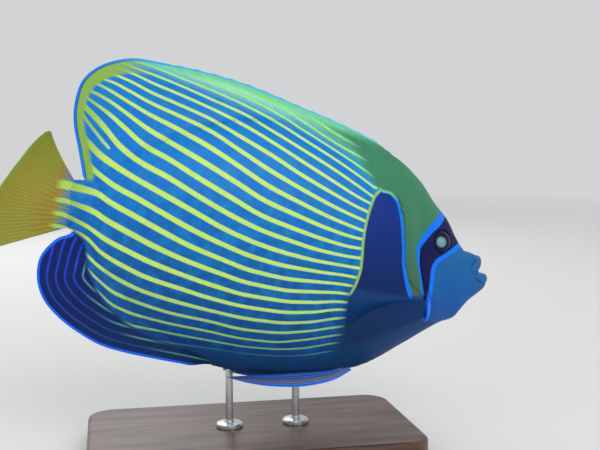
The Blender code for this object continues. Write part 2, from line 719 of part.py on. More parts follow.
def fins(grown, fish):
    """All the fins, each cut back to meet the body face to face."""
    made = [
        median_fin("dorsal_fin_spiny", DORSAL_BASE, DORSAL_MARGIN, (0.0, DORSAL_SPLIT - 0.0008),
                   DORSAL_SPINES, 7, True, fish),
        median_fin("dorsal_fin_soft", DORSAL_BASE, DORSAL_MARGIN, (DORSAL_SPLIT + 0.0008, 1.0),
                   DORSAL_SOFT_RAYS, 7, False, fish),
        median_fin("anal_fin", ANAL_BASE, ANAL_MARGIN, (0.0, 1.0), ANAL_RAYS, 7, False, fish),
        tail_fin(fish),
    ]
    for side, word in ((-1, "right"), (1, "left")):
        made.append(pectoral_fin("pectoral_fin_" + word, side, fish))
        made.append(pelvic_fin("pelvic_fin_" + word, side, fish))
    for fin in made:
        combine(fin, grown, "DIFFERENCE")


def tip_and_lift(fish, tools):
    """Parents the fish to an empty that tips it nose-down and centres it above the base."""
    pose = bpy.data.objects.new("pose", None)
    fish.objects.link(pose)
    nodes = [obj for obj in fish.objects if obj.type == "MESH"]
    for obj in [*nodes, *tools.objects]:
        obj.parent = pose
    pose.rotation_euler = (0, NOSE_DOWN, 0)
    bpy.context.view_layer.update()
    corners = [pose.matrix_world @ v.co for obj in nodes for v in obj.data.vertices]
    middle = (min(c.x for c in corners) + max(c.x for c in corners)) / 2
    lowest = min(c.z for c in corners)
    pose.location = (-middle, 0, BASE_SIZE[2] + CLEARANCE - lowest)
    bpy.context.view_layer.update()
    return pose


def stand_base(group):
    """A flat base with rounded corners and an eased top edge."""
    bm = bmesh.new()
    bmesh.ops.create_cube(bm, size=1)
    place = Matrix.Translation((0, 0, BASE_SIZE[2] / 2)) @ Matrix.Diagonal((*BASE_SIZE, 1))
    bmesh.ops.transform(bm, matrix=place, verts=bm.verts)
    upright = [e for e in bm.edges if abs(e.verts[0].co.z - e.verts[1].co.z) > 0.001]
    bmesh.ops.bevel(bm, geom=upright, offset=BASE_CORNER, segments=7, profile=0.5,
                    affect="EDGES")
    top = BASE_SIZE[2] - 1e-5
    rim = [e for e in bm.edges if all(v.co.z > top for v in e.verts)]
    bmesh.ops.bevel(bm, geom=rim, offset=0.0026, segments=3, profile=0.5, affect="EDGES")
    return from_bmesh("stand_base", bm, group)


def stand_rod(name, x, pose, grown, group):
    """A rod with a round foot, its top shaped to the belly it holds."""
    belly = pose.matrix_world @ Vector((x, 0, interpolate(BELLY, x)))
    foot = BASE_SIZE[2] + GAP
    turn = [
        (0.0, foot), (FOOT_RADIUS, foot), (FOOT_RADIUS, foot + 0.0016),
        (FOOT_RADIUS - 0.0008, foot + 0.0024), (ROD_RADIUS + 0.0012, foot + 0.0030),
        (ROD_RADIUS, foot + 0.0044), (ROD_RADIUS, belly.z + 0.005), (0.0, belly.z + 0.005),
    ]
    bm = bmesh.new()
    verts = [bm.verts.new((r, 0, z)) for r, z in turn]
    edges = [bm.edges.new(pair) for pair in zip(verts, verts[1:])]
    bmesh.ops.spin(bm, geom=[*verts, *edges], cent=(0, 0, 0), axis=(0, 0, 1),
                   angle=2 * math.pi, steps=24, use_merge=True)
    bmesh.ops.remove_doubles(bm, verts=bm.verts, dist=1e-6)
    bmesh.ops.transform(bm, matrix=Matrix.Translation((belly.x, 0, 0)), verts=bm.verts)
    rod = from_bmesh(name, bm, group)
    combine(rod, grown, "DIFFERENCE", "MANIFOLD")


def main():
    """Builds every node, sets the fish over its stand and gives each node its material."""
    for obj in list(bpy.data.objects):
        bpy.data.objects.remove(obj)
    fish = bpy.data.collections.new("emperor_angelfish")
    tools = bpy.data.collections.new("cutters")
    bpy.context.scene.collection.children.link(fish)
    bpy.context.scene.collection.children.link(tools)

    head, front_side = split_body(fish, tools)
    gill_covers(head, front_side, fish, tools)
    jaws(head, fish, tools)
    grown = body_loft("grown", GAP, tools)
    face_details(head, grown, fish, tools)
    fins(grown, fish)
    pose = tip_and_lift(fish, tools)
    stand_base(fish)
    for name, x in ROD_PLACES:
        stand_rod(name, x, pose, grown, fish)

    for obj in fish.objects:
        if obj.type == "MESH":
            obj.data.materials.clear()
            obj.data.materials.append(material(obj.name, *LOOKS[look_of(obj.name)]))
            obj.data.shade_smooth()
            obj.data.set_sharp_from_angle(angle=math.radians(40))
    for obj in tools.objects:
        obj.hide_render = True
        obj.display_type = "WIRE"


def look_of(name):
    """The longest key of LOOKS that a node's name starts with."""
    return max((key for key in LOOKS if name.startswith(key)), key=len)


main()
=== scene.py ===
"""Dresses the emperor angelfish: one painted skin, its coat of scales, rayed fins, eyes, lips,
cheek spines, the wooden base and the steel rods, on a pale floor in soft studio light."""

import math
from functools import partialmethod

import bmesh
import bpy
import numpy as np
from mathutils import Matrix, Vector


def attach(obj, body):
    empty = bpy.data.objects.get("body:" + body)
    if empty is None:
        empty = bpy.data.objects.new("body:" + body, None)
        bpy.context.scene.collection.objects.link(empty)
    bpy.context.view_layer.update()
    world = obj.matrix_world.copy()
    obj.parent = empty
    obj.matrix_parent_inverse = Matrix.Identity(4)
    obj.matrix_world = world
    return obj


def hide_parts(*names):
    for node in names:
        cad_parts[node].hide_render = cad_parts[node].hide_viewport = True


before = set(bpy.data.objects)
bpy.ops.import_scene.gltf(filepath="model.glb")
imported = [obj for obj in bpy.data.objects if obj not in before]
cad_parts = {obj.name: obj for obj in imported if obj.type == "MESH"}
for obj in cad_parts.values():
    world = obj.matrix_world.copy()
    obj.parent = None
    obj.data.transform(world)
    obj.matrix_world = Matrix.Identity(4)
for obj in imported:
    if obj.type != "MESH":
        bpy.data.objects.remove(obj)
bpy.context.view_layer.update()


def mm(*pairs):
    """A table given in millimetres, turned to metres."""
    return [(round(a / 1000, 8), round(b / 1000, 8)) for a, b in pairs]


# The CAD's driving values, repeated because this script reads only the frame
NOSE_DOWN = math.radians(11.0)
POSE_AT = (-0.11713008, 0.0, 0.15896106)
BACK = mm(
    (0, 15), (14, 17.2), (26, 27.5), (45, 44), (70, 60), (100, 72.5), (130, 76.5), (160, 75),
    (185, 71.2), (203, 66.2), (221.3, 54.5), (233.5, 42.5), (243.5, 34.2), (251.5, 24),
    (257.4, 17.8), (261.5, 15), (268.5, 14.2), (271.5, 12), (273.8, 7.2), (276.5, 2.2), (280, -1))
BELLY = mm(
    (0, -12.5), (12, -15), (25, -29.5), (45, -50), (65, -65.5), (85, -76.5), (105, -83.2),
    (130, -85.6), (155, -84.2), (180, -78.8), (205, -69.3), (229.1, -51.8), (244, -40),
    (252.5, -34), (260.5, -30), (262.8, -26.5), (267.5, -18.8), (273.5, -12.2), (277.5, -8),
    (280, -4.2))
HALF_WIDTH = mm(
    (0, 4.2), (14, 6.2), (40, 12.5), (75, 19.2), (115, 24.5), (155, 27.2), (190, 28), (212, 26.4),
    (230, 22.2), (245, 17.2), (258, 13), (268, 9.8), (275, 7.3), (280, 2.8))
WIDEST_HEIGHT = mm((0, 1), (100, 3), (190, 0), (225, -5), (250, -8), (268, -4), (280, -2.6))
LEAST_HALF = 0.0004
PINCH_ABOVE = [(0.0, 1.0), (0.03, 1.35), (0.12, 1.45), (0.19, 1.3), (0.23, 1.05), (0.28, 0.9)]
PINCH_BELOW = [(0.0, 1.0), (0.03, 1.4), (0.1, 1.4), (0.16, 1.00), (0.21, 0.92), (0.28, 0.9)]
BEND_START = 0.04
BEND_CURVATURE = 10.0
BEND_TWIST = 7.0
BEND_HEIGHT = 0.045
BEND_RAMP = 0.02
GILL_OPENING = mm(
    (198.5, 90), (198.5, 52), (204, 40), (208.5, 29), (213, 5), (218, -7), (226.2, -14),
    (234.5, -19), (238.5, -29), (242.2, -41), (247, -60))
CHEEK_EDGE = mm(
    (208.2, 37.6), (215, 33.5), (220, 24.5), (223.2, 10), (226.8, -3.5), (232.2, -11.5),
    (236.8, -18))
DORSAL_BASE = mm(
    (203.5, 60), (185, 64), (160, 67.2), (130, 68.2), (100, 64), (70, 51), (45, 35), (30, 21.5),
    (18.5, 12))
DORSAL_MARGIN = mm(
    (201.5, 69), (189.8, 73.3), (161.5, 80.6), (134.2, 85.9), (100.9, 92.2), (69.1, 94.8),
    (44.7, 94.5), (29.8, 93.8), (18.5, 90.1), (7.9, 83.1), (0.9, 73.2), (-0.8, 59), (1.2, 47.4),
    (6.6, 33.4), (12, 18.5))
ANAL_BASE = mm((112, -77), (95, -72), (75, -62), (55, -48), (38, -33), (26, -20), (17.5, -10.5))
ANAL_MARGIN = mm(
    (106, -86.2), (92.7, -85.6), (70.8, -84.6), (55.3, -83.6), (39.8, -81.2), (26, -75.8),
    (13, -68.5), (1.8, -58.5), (-4, -46.5), (-4.3, -33), (3, -21.2), (11.5, -16.5))
DORSAL_SPINES = 14
DORSAL_SOFT_RAYS = 20
DORSAL_SPLIT = 0.57
ANAL_RAYS = 22
FIN_ROOT_HALF = 0.0034
FIN_EDGE_HALF = 0.00032
RAY_HEIGHT = 0.0005
TAIL_RAYS = 16
TAIL_ROOT = mm((9.5, 12.8), (9.5, -12.6))
TAIL_ANGLES = (math.radians(49.0), math.radians(-25.0))
TAIL_RAY_LENGTHS = [
    (0.0, 0.0392), (0.04, 0.0414), (0.12, 0.0416), (0.28, 0.0414), (0.45, 0.0434), (0.62, 0.0474),
    (0.78, 0.05), (0.92, 0.0484), (1.0, 0.0438),
]
TAIL_CURL = 16.0
TAIL_ROOT_HALF = (0.0009, 0.0034)
PECTORAL_ROOT = mm((232.5, -19.6), (236.2, -30))
PECTORAL_RAY_LENGTHS = [
    (0.0, 0.024), (0.12, 0.036), (0.3, 0.049), (0.5, 0.058), (0.7, 0.0625), (0.88, 0.0595),
    (1.0, 0.049),
]
PECTORAL_RAYS = 16
PECTORAL_FLARE = math.radians(22.0)
PECTORAL_ANGLES = (math.radians(9.0), math.radians(23.0))
PELVIC_EDGE = mm(
    (198, -72.5), (187, -80.3), (168, -86.5), (148.6, -89), (135.6, -89.3), (125.6, -88.6),
    (118.5, -87.6))
PELVIC_INNER = mm(
    (193, -70), (183, -74), (168, -77), (152, -80), (140, -82.2), (129, -84.5), (119, -86.8))
PELVIC_RAYS = 6
EYE_PLACE = (0.2382, 0.019)
EYE_RADIUS = 0.0082
EYE_DEPTH = 0.0066
EYE_PROUD = 0.0028
NOSTRILS = [(0.2505, 0.0192, 0.00075), (0.2478, 0.0222, 0.0006)]

# The pupil's middle in the side view
PUPIL_PLACE = (0.2364, 0.0187)
# How far the dorsal fin's spiny sheet runs into the soft one, to leave no gap
DORSAL_LAP = 0.0008
# The sides' words and the signs of their y
SIDES = (("right", -1.0), ("left", 1.0))
# How deep the skin lies under the CAD's surface, and its snout with the mouth's notch
COAT_DEPTH = 0.00045
SNOUT_TOP = mm(
    (260, 15.7), (265, 15), (268.2, 14.2), (269.8, 12.2), (270.3, 7), (270.4, 3), (271.2, 0.8),
    (273.5, -0.4), (276.5, -1.2), (280, -2.2))

# Heights of the yellow stripes' centres (mm) at places along the fish (mm), top stripe first
STRIPE_X = [4, 12, 20, 30, 44, 60, 80, 100, 120, 140, 160, 176, 186]
STRIPES = [
    [99, 99, 98.5, 98, 97, 95, 92, 88.5, 83.5, 75.5, 66.8, 61.5, 58],
    [97, 97, 96.5, 95.5, 94, 91.5, 88, 84.3, 78.5, 70.5, 62.3, 55.3, 50.5],
    [95, 94.8, 94, 92.3, 90.5, 87.5, 84, 79.3, 73.3, 65, 56.8, 49.5, 44.5],
    [92, 91.5, 90, 88, 86, 83, 78.5, 74, 66.3, 58.5, 50.5, 43.3, 38.5],
    [87, 86.8, 86, 84.5, 81, 77.8, 73.3, 67.5, 59.8, 51.5, 43.3, 37, 34],
    [83.5, 82.5, 81.5, 79.5, 75.3, 71.8, 67, 59.5, 52, 43.5, 36.3, 31, 28.5],
    [80.5, 77.8, 76.8, 73.8, 69.3, 65.5, 60.3, 51.5, 42.8, 35.5, 29, 24.8, 22.5],
    [75.5, 73.8, 71.3, 67.5, 62.5, 57.8, 50.8, 42.3, 33.5, 27.3, 21.8, 18.3, 16.5],
    [69.5, 68, 65.3, 60.8, 54, 47.8, 40.3, 32.3, 24.3, 19.3, 14.8, 12.5, 12],
    [65.5, 62, 58.3, 52.5, 43.8, 38, 29.8, 22.3, 15, 11, 7.8, 6.3, 6.5],
    [61.5, 56, 49.5, 40.5, 33, 27.8, 19.8, 12.5, 6.8, 3.3, 0.8, 0.3, 0.8],
    [43.5, 37.5, 32, 27.8, 22.5, 17, 10, 3, -1.7, -4.5, -5.7, -5.7, -5.7],
    [33.5, 27.5, 22, 16.8, 12.3, 6.5, -0.5, -6, -10.2, -12, -12, -11.5, -11.7],
    [10.6, 10.6, 10.4, 6.5, 1.8, -3.7, -10.2, -14.7, -18.5, -19.5, -18.2, -17.2, -17.2],
    [2.5, 1.2, -0.5, -4.5, -9.2, -14.5, -19.5, -23.2, -26.2, -26.7, -24.5, -22.7, -22.5],
    [-5.7, -8.2, -11, -15.5, -20, -24.5, -28.5, -31.7, -33.7, -33.5, -31.2, -28.2, -27.5],
    [-13.3, -14.5, -17, -24.2, -29.7, -34.2, -37, -39.7, -41, -40.5, -37.5, -33.2, -32],
    [-20, -22.5, -26.3, -33, -39, -43.2, -45.7, -47.2, -48.2, -47.5, -44, -39, -36.5],
    [-28, -29.5, -32.5, -40.5, -48.2, -51.2, -53.5, -54, -55.5, -54.2, -50, -45, -42],
    [-35, -36, -38.5, -46.2, -55.7, -59.2, -60.2, -60.5, -61.5, -60.5, -55.7, -50.5, -47.5],
    [-42, -43, -45.5, -52, -61.8, -66.2, -66.4, -66.4, -66.6, -65.2, -61.5, -56, -53],
    [-49, -50, -52.5, -58.5, -67.5, -72.5, -73, -71.8, -71.3, -69.8, -66.5, -61.5, -58.5],
    [-56, -57, -59.5, -65, -73, -78, -79, -78, -77, -75.5, -72, -67.5, -64.5],
]

# Lines that bound the markings of the face, the flank and the fins, as (x, z)
PATCH_FRONT = mm(
    (100, 110), (150, 78), (178, 53), (190.5, 43.6), (196.5, 43.2), (201.5, 39.2), (204.5, 33),
    (206.6, 26.5), (208.4, 19), (210.3, 11), (211.8, 3), (213.6, -2.5), (216.8, -10), (221.2, -18))
PATCH_REAR = mm(
    (189.5, 43.2), (186.5, 39), (184.8, 33), (183.6, 26), (183, 19), (183.2, 10), (184.2, 1.5),
    (184.8, -5.5), (184.5, -11), (183.3, -17.5), (181.5, -23.5), (181.5, -30), (183.5, -42),
    (185, -52), (185, -80))
MASK_REAR = mm(
    (242, 42), (238.5, 36.5), (235, 31.5), (228.6, 25.8), (224, 19.5), (220.8, 14), (220.8, 9.5),
    (221.8, 4.5), (223.8, -1), (226.8, -9), (229.5, -15.5), (233, -22))
MASK_FRONT = mm(
    (260, 23.5), (253.8, 18.6), (249.3, 15.6), (244.6, 12.5), (240, 9.2), (236.2, 6.6), (234.1, 3),
    (233.7, 0), (234.3, -6.3), (234.5, -11.5), (234.9, -17.5), (235.6, -23), (236, -29),
    (236.4, -33), (237.2, -42))
GREEN_EDGE = mm(
    (-20, 96), (30, 96), (60, 90.5), (100, 83.5), (130, 78), (150, 72), (170, 63), (184, 51),
    (197, 42), (290, 40))
CHEST_EDGE = mm(
    (60, -77.5), (90, -74.5), (117, -72.5), (136, -72.2), (155, -69.5), (173.5, -67.2),
    (182, -61.2), (185.5, -52), (185, -42), (183.5, -30), (184.2, -15))
SHORT_STRIPE = mm((4, 55.5), (8.5, 51.2), (14, 46.2), (19, 41.8), (23.8, 38))
ANAL_EDGE = mm(
    (115, -83), (100, -76.5), (80, -73.5), (60, -68), (48, -61.5), (36, -52), (29, -42.5),
    (24.5, -34), (22.5, -27), (20.5, -20.5), (15.5, -15.8), (6, -13))
ANAL_LINES = ANAL_MARGIN[:10] + mm((-3, -20), (1.5, -5))


def xyz(*parts):
    """Points from their coordinates, each an array or a number."""
    return np.stack(np.broadcast_arrays(*parts), axis=-1)


def unit(directions):
    return directions / np.linalg.norm(directions, axis=-1, keepdims=True)


def hermite(t, start, start_run, end, end_run):
    """A smooth cubic between two values with a run at each."""
    return ((2 * t**3 - 3 * t**2 + 1) * start + (t**3 - 2 * t**2 + t) * start_run
            + (-2 * t**3 + 3 * t**2) * end + (t**3 - t**2) * end_run)


def table_at(table, x):
    """The CAD's smooth curve through a table of (x, value), for an array of x."""
    xs, ys = np.array(table, float).T
    x = np.clip(np.asarray(x, float), xs[0], xs[-1])
    slopes = np.diff(ys) / np.diff(xs)
    tangents = np.concatenate([slopes[:1], np.zeros(len(xs) - 2), slopes[-1:]])
    before, after = slopes[:-1], slopes[1:]
    same = before * after > 0
    total = np.where(same, before + after, 1.0)
    tangents[1:-1] = np.where(same, 2 * before * after / total, 0.0)
    i = np.clip(np.searchsorted(xs, x) - 1, 0, len(xs) - 2)
    width = xs[i + 1] - xs[i]
    return hermite((x - xs[i]) / width, ys[i], width * tangents[i],
                   ys[i + 1], width * tangents[i + 1])


def along(points, share):
    """Points at shares of the way along a smooth outline through a few points."""
    p = np.array(points, float)
    last = len(p) - 1
    lengths = np.concatenate([[0], np.cumsum(np.linalg.norm(np.diff(p, axis=0), axis=1))])
    where = np.asarray(share, float) * lengths[-1]
    i = np.clip(np.searchsorted(lengths, where) - 1, 0, last - 1)
    before, after = np.maximum(i - 1, 0), np.minimum(i + 2, last)
    step = lengths[i + 1] - lengths[i]
    start = (p[i + 1] - p[before]) * (step / (lengths[i + 1] - lengths[before]))[..., None]
    end = (p[after] - p[i]) * (step / (lengths[after] - lengths[i]))[..., None]
    return hermite(((where - lengths[i]) / step)[..., None], p[i], start, p[i + 1], end)


def smoothstep(low, high, value):
    t = np.clip((value - low) / (high - low), 0, 1)
    return t * t * (3 - 2 * t)


def half_width(x, z):
    """The body's half width at points of its side view, drawn in where the tail fin begins."""
    middle = table_at(WIDEST_HEIGHT, x)
    back = np.maximum(table_at(BACK, x) - middle, LEAST_HALF)
    belly = np.maximum(middle - table_at(BELLY, x), LEAST_HALF)
    share = np.where(z >= middle, (z - middle) / back, (middle - z) / belly)
    pinch = np.where(z >= middle, table_at(PINCH_ABOVE, x), table_at(PINCH_BELOW, x))
    inside = np.clip(1 - np.minimum(np.abs(share), 1) ** 2, 0, 1)
    half = np.maximum(table_at(HALF_WIDTH, x), LEAST_HALF)
    return half * stalk_taper(x) * inside ** (pinch / 2)


def stalk_taper(x):
    return 0.3 + 0.7 * smoothstep(-0.003, 0.011, x)


def bend(p):
    """Swings points of the straight fish with the tail."""
    x, y, z = p[..., 0], p[..., 1], p[..., 2]
    behind = np.maximum(BEND_START - x, 0)
    curvature = BEND_CURVATURE + BEND_TWIST * np.tanh(z / BEND_HEIGHT)
    ramp = behind * behind / (behind + BEND_RAMP)
    angle = curvature * ramp
    side = -(1 - np.cos(angle)) / curvature
    back = BEND_START - (behind - ramp) - np.sin(angle) / curvature
    back = np.where(behind > 0, back, x)
    return xyz(back - y * np.sin(angle), side + y * np.cos(angle), z)


def to_world(p):
    """From the fish's own frame to the model's."""
    c, s = math.cos(NOSE_DOWN), math.sin(NOSE_DOWN)
    x, y, z = p[..., 0], p[..., 1], p[..., 2]
    return xyz(x * c + z * s + POSE_AT[0], y, -x * s + z * c + POSE_AT[2])


def line_distance(points, x, z, count=90):
    """Signed distance to a smooth line in the side view: positive to the right of its run."""
    line = along(points, np.linspace(0, 1, count))
    p = np.stack([x.ravel(), z.ravel()], axis=-1)
    best = np.full(len(p), 1e9)
    signed = np.zeros(len(p))
    for a, b in zip(line[:-1], line[1:]):
        run = b - a
        t = np.clip(((p - a) @ run) / (run @ run), 0, 1)
        gap = p - (a + t[:, None] * run)
        distance = np.linalg.norm(gap, axis=1)
        side = run[1] * gap[:, 0] - run[0] * gap[:, 1]
        closer = distance < best
        best[closer] = distance[closer]
        signed[closer] = np.where(side[closer] >= 0, distance[closer], -distance[closer])
    return signed.reshape(x.shape)


def field_grid(function, low, high, step):
    """Samples a function of the side view on a fine grid, for quick smooth look-up."""
    xs = np.arange(low[0], high[0] + step, step)
    zs = np.arange(low[1], high[1] + step, step)
    values = function(*np.meshgrid(xs, zs, indexing="ij"))

    def look_up(x, z):
        u = np.clip((x - xs[0]) / step, 0, len(xs) - 1.001)
        v = np.clip((z - zs[0]) / step, 0, len(zs) - 1.001)
        i, j = u.astype(int), v.astype(int)
        a, b = u - i, v - j
        return ((values[i, j] * (1 - a) + values[i + 1, j] * a) * (1 - b)
                + (values[i, j + 1] * (1 - a) + values[i + 1, j + 1] * a) * b)
    return look_up


def stripe_phase(x, z):
    """A number that is whole at each yellow stripe's centre and rises down the flank."""
    heights = np.array(STRIPES, float) / 1000
    places = np.array(STRIPE_X, float) / 1000
    columns = x[:, 0]
    rows = np.stack([table_at(list(zip(places, row)), columns) for row in heights])
    phase = np.empty_like(x)
    numbers = np.arange(len(heights), dtype=float)
    for c in range(len(columns)):
        known = rows[::-1, c]
        phase[c] = np.interp(z[c], known, numbers[::-1])
        above = z[c] > known[-1]
        phase[c][above] = (known[-1] - z[c][above]) / 0.006
    return phase


# The side view's corners, and its fields: the stripes' phase and the distances to the lines
LOW, HIGH = (-0.06, -0.1), (0.285, 0.105)
FIELDS = {"phase": field_grid(stripe_phase, LOW, HIGH, 0.0008)}
for name, points, sign in (
    ("patch_front", PATCH_FRONT, -1), ("patch_rear", PATCH_REAR, -1), ("mask_rear", MASK_REAR, -1),
    ("mask_front", MASK_FRONT, -1), ("green", GREEN_EDGE, 1), ("chest", CHEST_EDGE, -1),
    ("short", SHORT_STRIPE, 0), ("anal", ANAL_EDGE, -1), ("dorsal_margin", DORSAL_MARGIN, 0),
    ("anal_margin", ANAL_MARGIN, 0), ("anal_lines", ANAL_LINES, 0),
    ("gill", GILL_OPENING, -1), ("cheek", CHEEK_EDGE, -1),
):
    def from_line(x, z):
        distance = line_distance(points, x, z)
        return sign * distance if sign else np.abs(distance)

    FIELDS[name] = field_grid(from_line, LOW, HIGH, 0.0012)


# The three fields that each stored marking holds
MARKS = {
    "mark_a": ("phase", "short", "chest"), "mark_b": ("patch_front", "patch_rear", "green"),
    "mark_c": ("mask_rear", "mask_front", "anal"), "mark_d": ("x", "z", "dorsal_margin"),
    "mark_e": ("anal_margin", "anal_lines", "tone"),
}


def paint(mesh, x, z, tone=0.0):
    """Stores the markings' fields on a mesh, in millimetres or stripe numbers."""
    own = {"x": 1000 * x, "z": 1000 * z, "tone": tone, "phase": FIELDS["phase"](x, z)}
    for name, fields in MARKS.items():
        parts = [own[f] if f in own else 1000 * FIELDS[f](x, z) for f in fields]
        layer = mesh.attributes.new(name, "FLOAT_VECTOR", "POINT")
        layer.data.foreach_set("vector", xyz(*parts).astype(np.float32).ravel())


def mesh_piece(name, points, faces, smooth=True):
    """A mesh object in the scene from arrays of points and faces."""
    mesh = bpy.data.meshes.new(name)
    mesh.from_pydata(np.asarray(points).tolist(), [], [list(map(int, f)) for f in faces])
    mesh.update()
    obj = bpy.data.objects.new(name, mesh)
    bpy.context.scene.collection.objects.link(obj)
    if smooth:
        mesh.shade_smooth()
    return obj


def face_out(obj):
    """Turns all faces of a closed mesh outwards."""
    bm = bmesh.new()
    bm.from_mesh(obj.data)
    bmesh.ops.recalc_face_normals(bm, faces=bm.faces)
    bm.to_mesh(obj.data)
    bm.free()


def store(obj, name, values):
    """A number at each point of a mesh."""
    layer = obj.data.attributes.new(name, "FLOAT", "POINT")
    layer.data.foreach_set("value", np.asarray(values, np.float32).ravel())


def ring_faces(rows, count, caps=True):
    """Quads between rings of points laid one after another, closed at both ends if asked."""
    faces = []
    for r in range(rows - 1):
        a = r * count + np.arange(count)
        b = r * count + (np.arange(count) + 1) % count
        faces += np.stack([a, b, b + count, a + count], axis=1).tolist()
    if caps:
        faces += [range(count), range((rows - 1) * count, rows * count)]
    return faces


# Materials
class Value:
    """A number in a material's node tree, to be reckoned with like a plain one."""

    def __init__(self, nodes, socket):
        self.nodes, self.socket = nodes, socket

    def math(self, operation, *others):
        return self.nodes.math(operation, self, *others)

    __add__ = partialmethod(math, "ADD")
    __sub__ = partialmethod(math, "SUBTRACT")
    __mul__ = partialmethod(math, "MULTIPLY")
    __truediv__ = partialmethod(math, "DIVIDE")
    __abs__ = partialmethod(math, "ABSOLUTE")

    def __rsub__(self, other):
        return self.nodes.math("SUBTRACT", other, self)

    def map(self, low, high, to_low=0, to_high=1, kind="LINEAR"):
        """Carries one range to another, held at both ends."""
        node = self.nodes.new("ShaderNodeMapRange", {
            "Value": self, "From Min": low, "From Max": high, "To Min": to_low,
            "To Max": to_high}, interpolation_type=kind)
        return Value(self.nodes, node.outputs["Result"])

    def step(self, low, high):
        """0 below low, 1 above high, smooth between; falls instead where low > high."""
        if low < high:
            return self.map(low, high, kind="SMOOTHSTEP")
        return self.map(high, low, 1, 0, "SMOOTHSTEP")

    def off_whole(self):
        """How far it is from the nearest whole number."""
        return abs((self + 0.5).math("FRACT") - 0.5)


class Nodes:
    """Short names for building a material's node tree."""

    def __init__(self, name):
        self.material = bpy.data.materials.new(name)
        self.material.use_nodes = True
        self.tree = self.material.node_tree
        self.shader = self.tree.nodes["Principled BSDF"]

    def feed(self, value, socket):
        """Links a value of the tree to a socket, or sets a plain one on it."""
        if isinstance(value, Value):
            value = value.socket
        if isinstance(value, bpy.types.NodeSocket):
            self.tree.links.new(value, socket)
        else:
            socket.default_value = value

    def new(self, kind, inputs=(), **settings):
        node = self.tree.nodes.new(kind)
        for key, value in settings.items():
            setattr(node, key, value)
        for key, value in dict(inputs).items():
            self.feed(value, node.inputs[key])
        return node

    def number(self, attribute):
        node = self.new("ShaderNodeAttribute", attribute_name=attribute)
        return Value(self, node.outputs["Fac"])

    def parts(self, attribute):
        source = self.new("ShaderNodeAttribute", attribute_name=attribute)
        split = self.new("ShaderNodeSeparateXYZ", {0: source.outputs["Vector"]})
        return [Value(self, output) for output in split.outputs]

    def math(self, operation, *values):
        node = self.new("ShaderNodeMath", enumerate(values), operation=operation)
        return Value(self, node.outputs[0])

    def mix(self, share, a, b, blend="MIX"):
        a, b = (linear(c) if isinstance(c, tuple) else c for c in (a, b))
        node = self.new("ShaderNodeMix", {0: share, 6: a, 7: b}, data_type="RGBA",
                        blend_type=blend)
        return node.outputs[2]

    def lay(self, colour, *over):
        """A colour with others laid over it in turn, each given as (share, colour)."""
        for share, upper in over:
            colour = self.mix(share, colour, upper)
        return colour

    def noise(self, scale, detail, vector, roughness=0.5):
        node = self.new("ShaderNodeTexNoise", {
            "Scale": scale, "Detail": detail, "Roughness": roughness, "Vector": vector})
        return Value(self, node.outputs["Fac"])

    def place(self):
        return self.new("ShaderNodeNewGeometry").outputs["Position"]

    def stretched(self, scale):
        """Places on the object, stretched along some axes for grain or brushing."""
        place = self.new("ShaderNodeTexCoord").outputs["Object"]
        return self.new("ShaderNodeMapping", {"Scale": scale, "Vector": place}).outputs[0]

    def bump(self, height, strength, distance):
        node = self.new("ShaderNodeBump", {
            "Strength": strength, "Distance": distance, "Height": height})
        self.feed(node.outputs["Normal"], self.shader.inputs["Normal"])

    def finish(self, colour, roughness, specular=0.5, coat=0.0, coat_roughness=0.03,
               metallic=0.0):
        """Feeds the shader and gives the material."""
        for key, value in (("Base Color", colour), ("Roughness", roughness),
                           ("Specular IOR Level", specular), ("Coat Weight", coat),
                           ("Coat Roughness", coat_roughness), ("Metallic", metallic)):
            self.feed(value, self.shader.inputs[key])
        return self.material


def linear(colour):
    """An 8-bit sRGB colour as scene-linear RGBA."""
    parts = [c / 255 for c in colour[:3]]
    return (*[c / 12.92 if c <= 0.04045 else ((c + 0.055) / 1.055) ** 2.4 for c in parts], 1.0)


def stripes(phase, x, rag):
    """1 on the yellow stripes and 0 between them, fading out where the tail fin begins."""
    half = phase.map(2, 7, 0.14, 0.155) - phase.map(15, 21, 0, 0.06)
    half = half - x.map(150, 184, 0, 0.015)
    return (phase.off_whole() - half + rag * 0.04).step(0.045, -0.03) * x.step(-4.5, 1.5)


